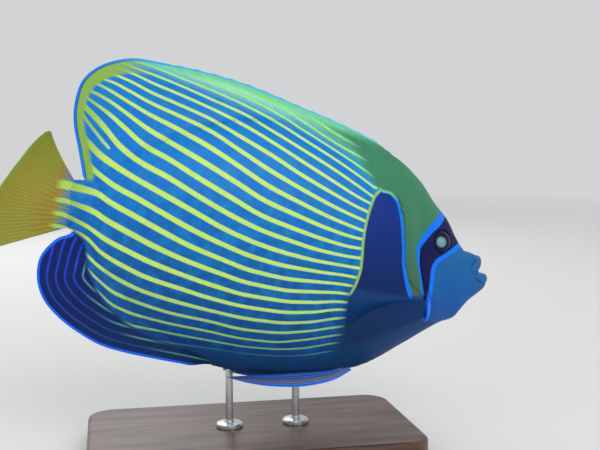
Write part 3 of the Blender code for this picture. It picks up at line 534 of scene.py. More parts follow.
def body_paint(name, gloss, grain=True):
    """The fish's markings: stripes, patch, mask, blue lines and the fins' margins."""
    n = Nodes(name)
    lay = n.lay
    phase, short, chest = n.parts("mark_a")
    front, rear, green = n.parts("mark_b")
    mask_rear, mask_front, anal = n.parts("mark_c")
    x, z, dorsal = n.parts("mark_d")
    anal_margin, anal_lines, tone = n.parts("mark_e")
    where = n.place()
    rag = (n.noise(420, 2, where) - 0.5) * 0.5 + (n.noise(1500, 1, where) - 0.5) * 0.5

    # Ground colours
    clouds = n.noise(160, 3, where).step(0.35, 0.75) * z.map(-60, 20, 0.25)
    teal = lay((70, 188, 180), (z.map(55, 92), (182, 255, 184)))
    olive = lay((70, 112, 86), (z.map(-15, 60), (64, 140, 104)))
    navy = lay((24, 70, 120), (z.map(-60, 30), (6, 54, 132)))
    body = lay((12, 64, 132), (z.map(-70, 40), (8, 122, 218)), (clouds, (14, 136, 214)),
               (green.step(9, -7), teal), (green.step(5, -8) * x.step(118, 180), olive),
               (x.step(9, -2), (112, 132, 78)))

    # Stripes
    stripe = stripes(phase, x, rag) * phase.step(22.3, 19.6) * chest.step(-2.5, 4)
    stripe = stripe * anal.step(2, -1.5) * (1 - green.step(-2, -11) * x.step(132, 180))
    stripe = stripe.math("MAXIMUM", (short - 0.85).step(0.5, -0.4))
    yellow = lay((204, 242, 108), (green.step(14, -4), (156, 236, 146)),
                 (phase.map(16, 20.5), (130, 180, 110)), (x.step(26, 6), (160, 200, 84)))
    body = lay(body, (stripe, yellow))

    # Chest, then the green forehead
    slant = (z - 44).math("MAXIMUM", 0) * 0.55
    ahead = front.step(-0.4, 0.6) * (x + slant).step(181, 191)
    body = lay(body, (chest.step(6, -4) * z.step(30, 20), navy),
               (ahead * z.step(-19.5, -15.5), olive))

    # Shoulder patch
    in_patch = front.step(0.2, -0.6) * rear.step(-0.4, 0.4) * z.step(44, 43.2)
    patch = lay((3, 40, 96), (z.map(-20, 40), (8, 50, 144)))
    line = (abs(rear) - 0.85).step(0.35, -0.35) * (z.step(-24.5, -20.5) * z.step(45, 44.2))
    body = lay(body, (in_patch, patch), (z.step(-16, -21) * x.step(176, 186), navy),
               (line, (150, 196, 110)))

    # Mask and muzzle, then painted shade in the mouth's gap
    in_mask = mask_rear.step(-0.3, 0.3) * mask_front.step(0.3, -0.3) * z.step(-31, -24)
    muzzle = lay((16, 84, 168), (z.map(-30, 15), (26, 106, 166)))
    low_face = (z + (x - 236) * 0.15).step(-33, -31)
    # The gap between the lips is painted dark: painted shade in its recess
    mouth_shade = z.step(-1.5, 0.5) * z.step(6.5, 4.5) * x.step(269.2, 270.4)
    body = lay(body, (in_mask, (2, 16, 74)), (mask_front.step(-0.3, 0.3) * low_face, muzzle),
               (mouth_shade, (8, 30, 64)))

    # Blue lines behind the mask, before it and along the gill cover
    behind = (abs(mask_rear) - z.map(2, 26, 0.75, 2.5)).step(0.35, -0.45) * z.step(-19, -14)
    before = (abs(mask_front) - 1.6).step(0.4, -0.5) * z.step(-34, -31.5)
    line = (abs(front) - z.map(-18, 42, 1.45, 0.9)).step(0.35, -0.4)
    tint = lay((6, 128, 255), (z.step(38, 43.5), (110, 200, 160)))
    body = lay(body, (behind, (0, 122, 255)), (before, (0, 122, 255)),
               (line * z.step(-20, -17) * x.step(188, 190), tint))

    # Margins of the dorsal fin
    hind = (dorsal - z.map(55, 92, 4.8, 9)).step(2.4, 0) * (x.step(48, 16) * z.step(15, 19.5))
    upper = dorsal.step(6, 2.5) * (x.step(20, 60) * x.step(195, 150))
    margin = lay((10, 118, 245), (x.map(0, 60), (56, 186, 236)), (x.map(60, 180), (104, 205, 215)))
    body = lay(body, (hind, (142, 186, 78)), (upper, (120, 214, 150)),
               (dorsal.step(2.3, 1.8) * x.step(44, 14), (40, 100, 130)),
               (dorsal.step(1.75, 1.25) * x.step(203, 192), margin))

    # Anal fin: navy with fine lines along its margin
    ripple = (((anal_lines - 5.9) / 5.2).off_whole() + rag * 0.05).step(0.17, 0.07)
    glow = lay((24, 66, 130), (z.step(-62, -30), (22, 66, 214)),
               (anal.step(9, 1) * z.step(-28, -38), (96, 166, 140)))
    deep = lay((3, 30, 100), (x.map(20, 90), (12, 48, 94)), (ripple * anal.step(0, 4), glow))
    in_anal = anal.step(-1, 2)
    rim = anal_margin.step(2, 1.3) * x.step(104, 88)
    body = lay(body, (in_anal, deep), (rim * in_anal, (18, 104, 255)))

    # Each scale differs a little
    duller = n.mix(1, body, (205, 215, 225), "MULTIPLY")
    body = lay(body, (tone.map(-1, 1, 0, 0.2), duller),
               (n.noise(900, 2, where) * 0.12, (8, 24, 60)))
    if grain:
        cells = n.new("ShaderNodeTexVoronoi", {"Scale": 620, "Vector": where})
        n.bump(cells.outputs["Distance"], 0.35, 0.0004)
    return n.finish(body, gloss, specular=0.16, coat=0.03, coat_roughness=0.25)


def dress(obj, material, replaces=()):
    """Gives a piece its one material and its body, and hides the CAD solids it stands for."""
    obj.data.materials.append(material)
    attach(obj, "root")
    if replaces:
        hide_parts(*replaces)


# Skin
def relief(x, z):
    """How far the skin stands out sideways: gill covers, cheeks, eye rims and nostrils."""
    gill = FIELDS["gill"](x, z)
    cheek = FIELDS["cheek"](x, z)
    on_face = smoothstep(0.0, 0.006, z + 0.03) * smoothstep(0.046, 0.036, z)
    rise = 0.00075 * smoothstep(-0.0002, 0.0006, gill) * smoothstep(0.012, 0.004, gill) * on_face
    rise -= 0.0005 * np.exp(-((gill + 0.0009) / 0.0007) ** 2) * on_face
    cheek_on = smoothstep(-0.022, -0.014, z) * smoothstep(0.02, 0.004, z)
    edge = smoothstep(-0.0003, 0.0004, cheek) * smoothstep(0.014, 0.003, cheek)
    rise += 0.00045 * edge * cheek_on
    rise -= 0.00035 * np.exp(-((cheek + 0.0006) / 0.0006) ** 2) * cheek_on
    radius = np.hypot(x - EYE_PLACE[0], z - EYE_PLACE[1])
    rise += 0.0004 * np.exp(-((radius - EYE_RADIUS * 0.97) / 0.0014) ** 2)
    rise -= 0.003 * smoothstep(EYE_RADIUS * 0.9, EYE_RADIUS * 0.7, radius)
    for nx, nz, size in NOSTRILS:
        r = np.hypot(x - nx, z - nz)
        rise += 0.00035 * np.exp(-((r - size * 1.5) / 0.0005) ** 2)
        rise -= 0.0011 * np.exp(-(r / size) ** 2)
    return rise


def body_skin():
    """The whole body without fins as one closed surface, just inside the CAD's solids."""
    xs = np.concatenate([np.arange(-0.0012, 0.196, 0.0012), np.arange(0.196, 0.268, 0.00062),
                         np.arange(0.268, 0.2738, 0.0003), np.arange(0.2742, 0.2784, 0.0006)])
    count = 300
    turn = 2 * math.pi * np.arange(count) / count
    X, UP = np.meshgrid(xs, np.sin(turn), indexing="ij")
    OUT = np.broadcast_to(np.cos(turn), X.shape)
    middle = table_at(WIDEST_HEIGHT, X)
    top = np.where(X < 0.26, table_at(BACK, X), table_at(SNOUT_TOP, X))
    back = np.maximum(top - COAT_DEPTH - middle, LEAST_HALF)
    belly = np.maximum(middle - table_at(BELLY, X) - COAT_DEPTH, LEAST_HALF)
    pinch = np.where(UP > 0, table_at(PINCH_ABOVE, X), table_at(PINCH_BELOW, X))
    Z = middle + np.where(UP > 0, back, belly) * UP
    half = np.maximum(table_at(HALF_WIDTH, X) - COAT_DEPTH, 0.0003) * stalk_taper(X)
    wide = half * np.abs(OUT) ** pinch + relief(X, Z) * smoothstep(0.0, 0.25, np.abs(OUT))
    flat = xyz(X, -np.sign(OUT) * wide, Z).reshape(-1, 3)
    skin = mesh_piece("skin", to_world(bend(flat)), ring_faces(len(xs), count))
    paint(skin.data, flat[:, 0], flat[:, 2])
    face_out(skin)
    return skin


def frames_on(at, normal, lead):
    """Frames for scales: places, outward directions, and rearward and up along the surface."""
    normal = unit(normal)
    rear = unit(lead - (lead * normal).sum(axis=-1, keepdims=True) * normal)
    up = np.cross(normal, rear)
    return at, normal, rear, up * np.sign(up[:, 2:])


def outward(x, z, side, step):
    """The direction out of a flank, from its slopes over a small step."""
    along_x = (half_width(x + step, z) - half_width(x - step, z)) / (2 * step)
    along_z = (half_width(x, z + step) - half_width(x, z - step)) / (2 * step)
    return unit(xyz(-along_x, side, -along_z))


def side_frames(x, z, side, depth, rise):
    """Frames on a flank, a depth under its surface and as far out as its relief rises."""
    normal = outward(x, z, side, 0.0006)
    at = xyz(x, side * (half_width(x, z) + rise), z) - normal * depth
    return frames_on(at, normal, np.array([-1.0, 0.0, 0.0]))


# A scale's outline from its hidden root to its free rear edge: (rearward, up, lift), in shares
SCALE_OUTLINE = np.array([
    (-0.42, 0.26, -0.6), (0.06, 0.5, 0.1), (0.44, 0.34, 0.7), (0.6, 0.0, 0.95),
    (0.44, -0.34, 0.7), (0.06, -0.5, 0.1), (-0.42, -0.26, -0.6),
])
# How far apart full-size scales lie along the flank and up it, and how large they are
SCALE_COLUMN, SCALE_ROW = 0.00155, 0.0026
SCALE_LONG, SCALE_WIDE, SCALE_LIFT, SCALE_THICK = 0.004, 0.0036, 0.00032, 0.00012
# The raised point inside its outline, as shares rearward and up from the surface
CROWN_REAR, CROWN_LIFT = 0.12, 0.42
# How deep they start under the CAD's surface, just inside the skin
SCALE_DEPTH = COAT_DEPTH + 0.00005
# How much they vary, in size and in their turn
SIZE_SPREAD, TURN_SPREAD = 0.06, 0.09
# Where along the body they begin and end, and their sizes at places along it
SCALES_FROM, SCALES_TO = 0.003, 0.2655
SCALE_SIZES = [(0, 0.03, 0.185, 0.215, 0.245, 0.266), (0.5, 1, 1, 0.62, 0.44, 0.22)]
# Their UV map, the right flank beside the left one: where it starts, and metres mapped to a share
UV_START, UV_SHARE, UV_LENGTH, UV_HEIGHT, UV_SCALE = 0.03, 0.44, 0.32, 0.26, 0.0024


def scales(name, rows, frames, material, seed):
    """A coat piece of small closed shells, each rooted under the one ahead.

    A row is x, z, side, arc from the middle line and size.
    """
    rng = np.random.default_rng(seed)
    x, z, side, arc, size = rows.T
    n, k = len(x), len(SCALE_OUTLINE)
    size = size * (1 + rng.uniform(-SIZE_SPREAD, SIZE_SPREAD, n))
    tone = rng.uniform(-1, 1, n)
    at, normal, rear, up = frames
    turn = rng.uniform(-TURN_SPREAD, TURN_SPREAD, n)[:, None]
    rear, up = rear * np.cos(turn) + up * np.sin(turn), up * np.cos(turn) - rear * np.sin(turn)
    shape = SCALE_OUTLINE * size[:, None, None] * (SCALE_LONG, SCALE_WIDE, SCALE_LIFT)
    top = (at[:, None] + rear[:, None] * shape[..., :1] + up[:, None] * shape[..., 1:2]
           + normal[:, None] * shape[..., 2:])
    crown = (at + normal * (CROWN_LIFT * SCALE_LIFT * size)[:, None]
             + rear * (CROWN_REAR * SCALE_LONG * size)[:, None])
    low = top - normal[:, None] * SCALE_THICK
    flat = np.concatenate([top, crown[:, None], low], axis=1)
    per = 2 * k + 1
    around = np.arange(k)
    after = (around + 1) % k
    fan = np.stack([around, after, np.full(k, k)], axis=1)
    under = [(k + 1, k + 1 + j + 1, k + 1 + j) for j in range(1, k - 1)]
    rim = [(a, k + 1 + a, b) for a, b in zip(around, after)]
    rim += [(b, k + 1 + a, k + 1 + b) for a, b in zip(around, after)]
    one = np.concatenate([fan, np.array(under), np.array(rim)])
    faces = one + (np.arange(n) * per)[:, None, None]
    right = side < 0
    faces[right] = faces[right][:, :, ::-1]
    obj = mesh_piece(name, to_world(bend(flat.reshape(-1, 3))), faces.reshape(-1, 3))
    paint(obj.data, flat[..., 0].ravel(), flat[..., 2].ravel(), np.repeat(tone, per))
    spot = np.concatenate([SCALE_OUTLINE[:, :2], [(0.1, 0.0)], SCALE_OUTLINE[:, :2]]) * UV_SCALE
    u = UV_START + UV_SHARE * (x + 0.02) / UV_LENGTH + np.where(right, 0.0, 0.5)
    uv = xyz(u, 0.5 + arc / UV_HEIGHT)[:, None] + spot
    layer = obj.data.uv_layers.new(name="OFBake")
    order = np.empty(len(obj.data.loops), int)
    obj.data.loops.foreach_get("vertex_index", order)
    layer.data.foreach_set("uv", uv.reshape(-1, 2)[order].astype(np.float32).ravel())
    obj.data.set_sharp_from_angle(angle=math.radians(50))
    dress(obj, material)


def body_scale_places():
    """Rows of scales along both flanks, in quincunx, smaller towards the head and the tail."""
    found = []
    x, column = SCALES_FROM, 0
    while x < SCALES_TO:
        size = float(np.interp(x, *SCALE_SIZES))
        middle = float(table_at(WIDEST_HEIGHT, x))
        for way, reach in ((1, float(table_at(BACK, x)) - middle),
                           (-1, middle - float(table_at(BELLY, x)))):
            t = np.linspace(0, math.pi / 2, 200)
            zz = middle + way * reach * np.sin(t)
            yy = half_width(np.full_like(zz, x), zz)
            arc = np.concatenate([[0], np.cumsum(np.hypot(np.diff(zz), np.diff(yy)))])
            step = SCALE_ROW * size
            places = (np.arange(80) + (column % 2) * 0.5 * way) * step
            places = places[(places < arc[-1] - 0.0012) & (places >= 0)]
            if way < 0:
                places = places[places > 0.0005]
            for place, height in zip(places, np.interp(places, arc, zz)):
                found.append((x, height, way * place, size))
        x += SCALE_COLUMN * size
        column += 1
    return np.array(found)


def keep_scales(places):
    """Leaves out scales over the eye and the nostrils, and where the skin's relief is steep."""
    x, z = places[:, 0], places[:, 1]
    clear = np.hypot(x - EYE_PLACE[0], z - EYE_PLACE[1]) > EYE_RADIUS + 0.0016
    for nx, nz, size in NOSTRILS:
        clear &= np.hypot(x - nx, z - nz) > size + 0.0012
    nudge = 0.0004
    slope = np.hypot(relief(x + nudge, z) - relief(x - nudge, z),
                     relief(x, z + nudge) - relief(x, z - nudge)) / (2 * nudge)
    return places[clear & (slope < 0.4)]


# Fins, with what each point of a rayed fin stores: on a ray or between, way out and across
FIN_MARKS = ("fin_ray", "fin_out", "fin_across")
# A midline fin's reach at its front end, as a share of its margin's, and its gain just behind
TIP_SHARE, TIP_GAIN = 0.695, 0.3
# Its fleshy foot: swell above and below the body as shares of the body's half width, the distance
# over which it thins away, and how deep it lies inside the body
FOOT_ABOVE, FOOT_BELOW, FOOT_REACH, FOOT_DEPTH = 0.07, 0.024, 0.005, 0.0009


def unit_grid(columns, rows):
    """Shares from 0 to 1 along a fin's base, and from its root out to its edge."""
    return np.meshgrid(np.linspace(0, 1, columns), np.linspace(0, 1, rows), indexing="ij")


def fin_sheet(name, centre, half, material, replaces, flat=None, marks=()):
    """A closed sheet from a grid of centres and sideways half thicknesses."""
    columns, rows = centre.shape[:2]
    points = np.concatenate([(centre + half).reshape(-1, 3), (centre - half).reshape(-1, 3)])
    far = columns * rows
    c, r = np.meshgrid(np.arange(columns - 1), np.arange(rows - 1), indexing="ij")
    a = (c * rows + r).ravel()
    near = np.stack([a, a + rows, a + rows + 1, a + 1], axis=1)
    rim = [q * rows for q in range(columns)]
    rim += [(columns - 1) * rows + q for q in range(1, rows)]
    rim += [q * rows + rows - 1 for q in range(columns - 2, -1, -1)]
    rim += list(range(rows - 2, 0, -1))
    edge = [(p, p + far, q + far, q) for p, q in zip(rim, rim[1:] + rim[:1])]
    faces = near.tolist() + (near + far)[:, ::-1].tolist() + edge
    obj = mesh_piece(name, to_world(points), faces)
    shade = flat if flat is not None else centre
    both = np.concatenate([shade.reshape(-1, 3)] * 2)
    paint(obj.data, both[:, 0], both[:, 2])
    face_out(obj)
    obj.data.set_sharp_from_angle(angle=math.radians(60))
    dress(obj, material, replaces)
    for mark, values in zip(FIN_MARKS, marks):
        store(obj, mark, np.concatenate([values.ravel()] * 2))


def ridge_wave(share, rays, sharp=2.2):
    """1 along each ray and 0 midway between two, over shares from 0 to 1."""
    return (0.5 + 0.5 * np.cos(2 * math.pi * (share * rays - 0.5))) ** sharp


def beyond_body(x, z):
    """How far a point of the side view lies above the back or below the belly."""
    return np.maximum(z - table_at(BACK, x), table_at(BELLY, x) - z)


def median_form(base, margin, shares, rays, spiny, s, t):
    """A midline fin's places in the side view and half thicknesses, for shares along and out."""
    where = shares[0] + (shares[1] - shares[0]) * s
    root, tip = along(base, where), along(margin, where)
    wave = ridge_wave(s, rays)
    tip = root + (tip - root) * (TIP_SHARE + TIP_GAIN * smoothstep(0.0, 0.07, where))[..., None]
    if spiny:
        tip = tip + unit(tip - root) * (0.0002 * wave - 0.0004 * (1 - wave))[..., None]
    else:
        split = smoothstep(0.45, 0.75, t)
        wave = wave * (1 - split) + 0.8 * ridge_wave(s, rays * 2, 1.6) * split
    spot = root + (tip - root) * t[..., None]
    half = FIN_EDGE_HALF + (FIN_ROOT_HALF - FIN_EDGE_HALF) * (1 - t) ** 1.5 - 0.0001
    half += wave * (0.5 if spiny else 0.3) * RAY_HEIGHT * np.minimum(1, 1.8 * t)
    x, z = spot[..., 0], spot[..., 1]
    out = beyond_body(x, z)
    ends = smoothstep(0.0, 0.05, where) * smoothstep(1.0, 0.93, where)
    fillet = np.where(z > 0, FOOT_ABOVE, FOOT_BELOW) * table_at(HALF_WIDTH, x)
    fillet = fillet * np.exp(-np.maximum(out, -0.006) / FOOT_REACH)
    half += ends * fillet * smoothstep(1.0, 0.6, t)
    buried = half_width(x, z) - FOOT_DEPTH + 0.9 * np.maximum(out + 0.0045, 0)
    buried = np.minimum(half, np.maximum(buried, 0.0003))
    return spot, np.where(out < -0.002, buried, half)


def median_fin(name, form, material, replaces):
    """A fin on the midline, its rays forking towards the edge, or spines with a notched edge."""
    s, t = unit_grid(form[3] * 12 + 1, 44)
    spot, half = median_form(*form, s, t)
    flat = xyz(spot[..., 0], 0.0, spot[..., 1])
    centre = bend(flat)
    fin_sheet(name, centre, bend(flat + xyz(0.0, half, 0.0)) - centre, material, replaces,
              flat)


def median_scales(name, form, material, size=0.62):
    """Small scales over the fleshy part of a midline fin, on both of its sides."""
    s, t = unit_grid(form[3] * 8 + 1, 60)
    spot, half = median_form(*form, s, t)
    ds, dt = np.gradient(spot, axis=0), np.gradient(spot, axis=1)
    hs, ht = np.gradient(half, axis=0), np.gradient(half, axis=1)
    area = ds[..., 0] * dt[..., 1] - ds[..., 1] * dt[..., 0]
    slope_x = (hs * dt[..., 1] - ht * ds[..., 1]) / area
    slope_z = (ht * ds[..., 0] - hs * dt[..., 0]) / area
    step_x, step_z = SCALE_COLUMN * size, SCALE_ROW * size
    low, high = spot.reshape(-1, 2).min(axis=0), spot.reshape(-1, 2).max(axis=0)
    i, j = np.meshgrid(np.arange(int((high[0] - low[0]) / step_x)),
                       np.arange(int((high[1] - low[1]) / step_z)), indexing="ij")
    x = (low[0] + i * step_x).ravel()
    z = (low[1] + (j + 0.5 * (i % 2)) * step_z).ravel()
    near = np.array([np.argmin(np.hypot(spot[..., 0] - px, spot[..., 1] - pz))
                     for px, pz in zip(x, z)])
    node = spot.reshape(-1, 2)[near]
    away = np.hypot(x - node[:, 0], z - node[:, 1])
    out, edge = t.ravel()[near], s.ravel()[near]
    keep = (away < 0.0009) & (beyond_body(x, z) > -0.003) & (out < 0.8)
    keep &= (edge > 0.004) & (edge < 0.996)
    x, z, near, out, node = x[keep], z[keep], near[keep], out[keep], node[keep]
    sx, sz = slope_x.ravel()[near], slope_z.ravel()[near]
    y = half.ravel()[near] + sx * (x - node[:, 0]) + sz * (z - node[:, 1])
    lead = unit(dt.reshape(-1, 2)[near])
    along_fin = xyz(lead[:, 0] * 0.5 - 0.8, 0.0, lead[:, 1] * 0.5)
    small = size * (1 - 0.5 * smoothstep(0.5, 0.8, out))
    parts = [(xyz(x, z, side, z, small),
              *frames_on(xyz(x, side * y, z), xyz(-sx, side, -sz), along_fin))
             for _, side in SIDES]
    rows, *frames = (np.concatenate(group) for group in zip(*parts))
    scales(name, rows, frames, material, 31)


def tail_fin(material):
    """The fan of the tail, its rays forking twice, its top lobe curled to the right."""
    s, t = unit_grid(TAIL_RAYS * 12 + 1, 48)
    first, second = smoothstep(0.35, 0.6, t), smoothstep(0.7, 0.9, t)
    wave = ridge_wave(s, TAIL_RAYS) * (1 - first)
    wave = wave + ridge_wave(s, TAIL_RAYS * 2, 1.6) * first * (1 - second)
    wave = wave + ridge_wave(s, TAIL_RAYS * 4, 1.2) * second * 0.8
    angle = TAIL_ANGLES[0] + (TAIL_ANGLES[1] - TAIL_ANGLES[0]) * s
    root = np.array(TAIL_ROOT[0]) * (1 - s)[..., None] + np.array(TAIL_ROOT[1]) * s[..., None]
    length = table_at(TAIL_RAY_LENGTHS, s)
    reach = length[..., None] * xyz(-np.cos(angle), np.sin(angle))
    spot = root + reach * t[..., None]
    swell = TAIL_ROOT_HALF[0] + TAIL_ROOT_HALF[1] * (1 - (2 * s - 1) ** 2)
    half = FIN_EDGE_HALF + swell * (1 - t) ** 2.4 - 0.0001
    half += wave * 0.8 * RAY_HEIGHT * np.minimum(1, 2.2 * t) * (1 - 0.5 * t)
    curl = TAIL_CURL * np.maximum(spot[..., 1] - TAIL_ROOT[0][1], 0)
    z = np.minimum(spot[..., 1], TAIL_ROOT[0][1]) + np.sin(curl) / TAIL_CURL
    flat = xyz(spot[..., 0], -(1 - np.cos(curl)) / TAIL_CURL, z)
    centre = bend(flat)
    fin_sheet("tail_fin_dressed", centre, bend(flat + xyz(0.0, half, 0.0)) - centre, material,
              ["tail_fin"], flat, (wave, t, s))


def pectoral_fin(word, side, material):
    """A rounded paddle held a little off the flank, its rays forking towards the edge."""
    s, t = unit_grid(PECTORAL_RAYS * 12 + 1, 48)
    first = smoothstep(0.45, 0.7, t)
    wave = ridge_wave(s, PECTORAL_RAYS) * (1 - first)
    wave = wave + ridge_wave(s, PECTORAL_RAYS * 2, 1.6) * first * 0.9
    angle = PECTORAL_ANGLES[0] + (PECTORAL_ANGLES[1] - PECTORAL_ANGLES[0]) * s
    run = t * table_at(PECTORAL_RAY_LENGTHS, s)
    top, low = np.array(PECTORAL_ROOT[0]), np.array(PECTORAL_ROOT[1])
    foot = top + (low - top) * s[..., None]
    start = half_width(foot[..., 0], foot[..., 1]) - 0.0014
    flare = PECTORAL_FLARE
    x = foot[..., 0] - np.cos(angle) * run * math.cos(flare)
    z = foot[..., 1] - np.sin(angle) * run * math.cos(flare)
    out = start + run * math.sin(flare) * (1.25 - 0.35 * t)
    half = 0.00028 + 0.001 * (1 - t) ** 3 - 0.00006
    half += wave * 0.00026 * np.minimum(1, 3 * t) * (1 - 0.6 * t)
    thick = xyz(half * math.sin(flare), side * half * math.cos(flare), 0.0)
    fin_sheet("pectoral_" + word, xyz(x, side * out, z), thick, material,
              ["pectoral_fin_" + word], marks=(wave, t, s))


def pelvic_fin(word, side, material):
    """A long pointed blade under the belly, its stout front edge lowest."""
    s, t = unit_grid(PELVIC_RAYS * 12 + 1, 70)
    wave = ridge_wave(s + 0.5 / PELVIC_RAYS, PELVIC_RAYS)
    outer, inner = along(PELVIC_EDGE, t), along(PELVIC_INNER, t)
    spot = outer + (inner - outer) * s[..., None]
    y = 0.0046 + 0.0062 * np.sin(math.pi * np.minimum(t * 0.75, 1)) + 0.003 * s
    half = 0.0003 + 0.001 * (1 - s) ** 3 * (1 - t) + 0.0007 * (1 - t) ** 4 - 0.00005
    half += wave * 0.00026 * (1 - 0.6 * t)
    fin_sheet("pelvic_" + word, xyz(spot[..., 0], side * y, spot[..., 1]),
              xyz(0.0, side * half, 0.0), material, ["pelvic_fin_" + word],
              marks=(wave, t, s))


def tail_paint():
    n = Nodes("tail_fin_paint")
    where = n.place()
    ray, out, across = map(n.number, FIN_MARKS)
    phase, x = n.parts("mark_a")[0], n.parts("mark_d")[0]
    gold = n.lay(
        (134, 148, 48), (across.map(0, 0.45), (154, 144, 48)),
        (across.map(0.6, 1), (144, 146, 52)),
        (out.step(0.6, 0.25) * out.step(0.1, 0.22), (152, 124, 38)),
        (out.step(0.26, 0.12), (120, 150, 62)), (n.noise(240, 3, where) * 0.4, (104, 128, 52)),
        (x.step(-2, 9), (12, 100, 190)), (stripes(phase, x, 0), (172, 214, 90)),
        (ray * 0.35, (176, 158, 58)), (out.step(0.955, 0.99), (126, 164, 58)))
    n.bump(n.noise(1800, 2, where), 0.25, 0.0002)
    return n.finish(gold, 0.5, specular=0.25)


def pectoral_paint():
    n = Nodes("pectoral_paint")
    ray, out, across = map(n.number, FIN_MARKS)
    # Dark blue, darker towards the edge; the rays painted lighter, partly their own tint and
    # partly painted highlight along them
    tint = n.lay((1, 32, 86), (out.step(0.05, 0.9), (1, 26, 70)),
                 (ray * out.map(0, 1, 0.6, 0.4), (40, 90, 146)),
                 (across.step(0.03, 0), (16, 56, 130)))
    n.bump(n.noise(1600, 2, n.place()), 0.2, 0.0002)
    return n.finish(tint, 0.5, specular=0.1)


def pelvic_paint():
    n = Nodes("pelvic_paint")
    ray, _, across = map(n.number, FIN_MARKS)
    tint = n.lay((16, 104, 232), (across.step(0.22, 0.34), (120, 96, 60)),
                 (across.step(0.42, 0.6), (24, 74, 170)), (ray * 0.35, (70, 140, 220)))
    n.bump(n.noise(1600, 2, n.place()), 0.2, 0.0002)
    return n.finish(tint, 0.42, coat=0.2)


# Head details
CHEEK_SPINE = mm((235.5, -16.5), (236, -21.5), (236.7, -26.2), (237.1, -30), (236.9, -33.4))
# Each lip's front, half thickness, half height, reach back, half width and droop
LIPS = {
    "lip_upper": ((0.2701, 0.009), 0.0026, 0.0047, 0.0075, 0.0092, 1.0),
    "lip_lower": ((0.2765, -0.0009), 0.0027, 0.0036, 0.01, 0.0089, -0.15),
}


def eye_matrix(side):
    """The eye's place, sunk in the flank, and its turn, half from the flank's to sideways."""
    x, z = map(np.float64, EYE_PLACE)
    out = Vector(outward(x, z, side, 0.0015))
    place = Vector((x, side * half_width(x, z), z)) - out * (EYE_DEPTH - EYE_PROUD)
    out = (out + Vector((0, side, 0))).normalized()
    return Matrix.Translation(place) @ out.to_track_quat("Z", "Y").to_matrix().to_4x4()


def eye(word, side, material):
    """A slightly flattened ball with a raised clear front, painted by distance from its axis."""
    rings, around = 60, 96
    P, A = np.meshgrid(np.linspace(0, math.pi, rings + 1)[1:-1],
                       2 * math.pi * np.arange(around) / around, indexing="ij")
    bulge = 1 + 0.01 * np.exp(-(P / 0.5) ** 2)
    ball = xyz(np.sin(P) * np.cos(A), np.sin(P) * np.sin(A), np.cos(P) * bulge)
    ball = np.concatenate([ball.reshape(-1, 3), [(0, 0, 1.01)], [(0, 0, -1)]])
    size = np.array([EYE_RADIUS, EYE_RADIUS, EYE_DEPTH]) * 0.985
    where = eye_matrix(side)
    points = np.array([list(where @ Vector(p)) for p in ball * size])
    first, low = (rings - 1) * around, (rings - 2) * around
    faces = ring_faces(rings - 1, around, caps=False)
    faces += [(k, (k + 1) % around, first) for k in range(around)]
    faces += [(low + (k + 1) % around, low + k, first + 1) for k in range(around)]
    obj = mesh_piece("eye_dressed_" + word, to_world(points), faces)
    radius = 1000 * np.hypot(points[:, 0] - PUPIL_PLACE[0], points[:, 2] - PUPIL_PLACE[1])
    store(obj, "eye_out", radius + np.where(ball[:, 2] < 0, 20.0, 0.0))
    face_out(obj)
    dress(obj, material, ["eye_" + word])


def eye_paint():
    n = Nodes("eye_paint")
    out = n.number("eye_out")
    # The pupil is painted pale, palest in its middle: a painted reflection of light in its lens
    pupil_glint = n.lay((126, 160, 160), (out.step(0, 3.2), (98, 140, 150)))
    tint = n.lay((4, 7, 32), (n.noise(1400, 3, n.place()), (10, 20, 60)),
                 ((abs(out - 3.55) - 0.2).step(0.2, -0.2), (30, 62, 104)),
                 (out.step(3.35, 3.05), pupil_glint))
    return n.finish(tint, 0.22, specular=0.14, coat=0.14, coat_roughness=0.04)


def tube(name, path, radii, sides=24):
    """A closed tube round a path of points, with an elliptical section: (outward, up) radii."""
    tangent = unit(np.gradient(path, axis=0))
    lean = np.array((0.0, 0.0, 1.0) if abs(tangent[0, 2]) < 0.8 else (1.0, 0.0, 0.0))
    up = unit(lean - tangent * (tangent @ lean)[:, None])
    out = np.cross(tangent, up)
    turn = 2 * math.pi * np.arange(sides) / sides
    points = (path[:, None] + out[:, None] * (radii[:, :1] * np.cos(turn))[..., None]
              + up[:, None] * (radii[:, 1:] * np.sin(turn))[..., None]).reshape(-1, 3)
    obj = mesh_piece(name, to_world(points), ring_faces(len(path), sides))
    face_out(obj)
    return obj, points


def lip(name, front, thick, tall, back, spread, droop, material):
    """A fleshy roll bent round the front of a jaw, thinning towards its corners."""
    turn = math.pi * np.linspace(-0.5, 0.5, 65)
    round_off = np.maximum(np.cos(turn), 0)
    behind = back * (1 - round_off ** 0.7)
    path = xyz(front[0] - behind, spread * np.sin(turn), front[1] - droop * behind)
    fat = 0.15 + 0.85 * round_off ** 0.6
    obj, flat = tube(name, path, xyz(thick * fat, tall * fat))
    paint(obj.data, flat[:, 0], flat[:, 2])
    dress(obj, material)


def lip_paint():
    n = Nodes("lip_paint")
    where = n.place()
    n.bump(n.noise(900, 3, where), 0.3, 0.0003)
    tint = n.mix(n.noise(260, 3, where), (20, 84, 150), (34, 106, 158))
    return n.finish(tint, 0.45, specular=0.25)


def cheek_spine(word, side, material):
    """The stout spine at the cheek's lower corner, lying back along the blue line."""
    t = np.linspace(0, 1, 40)
    x, z = along(CHEEK_SPINE, t).T
    out = half_width(x, z) - 0.0011 + 0.0024 * smoothstep(0.0, 0.75, t)
    fat = 0.0015 * np.minimum(1, 0.55 + 1.2 * t) * np.sqrt(np.maximum(1 - t ** 3, 0.02))
    obj, _ = tube("cheek_spine_dressed_" + word, xyz(x, side * out, z), xyz(fat, fat))
    dress(obj, material, ["cheek_spine_" + word])


def spine_paint():
    n = Nodes("spine_paint")
    tint = n.mix(n.noise(500, 2, n.place()), (0, 96, 240), (10, 128, 255))
    return n.finish(tint, 0.28, coat=0.4)


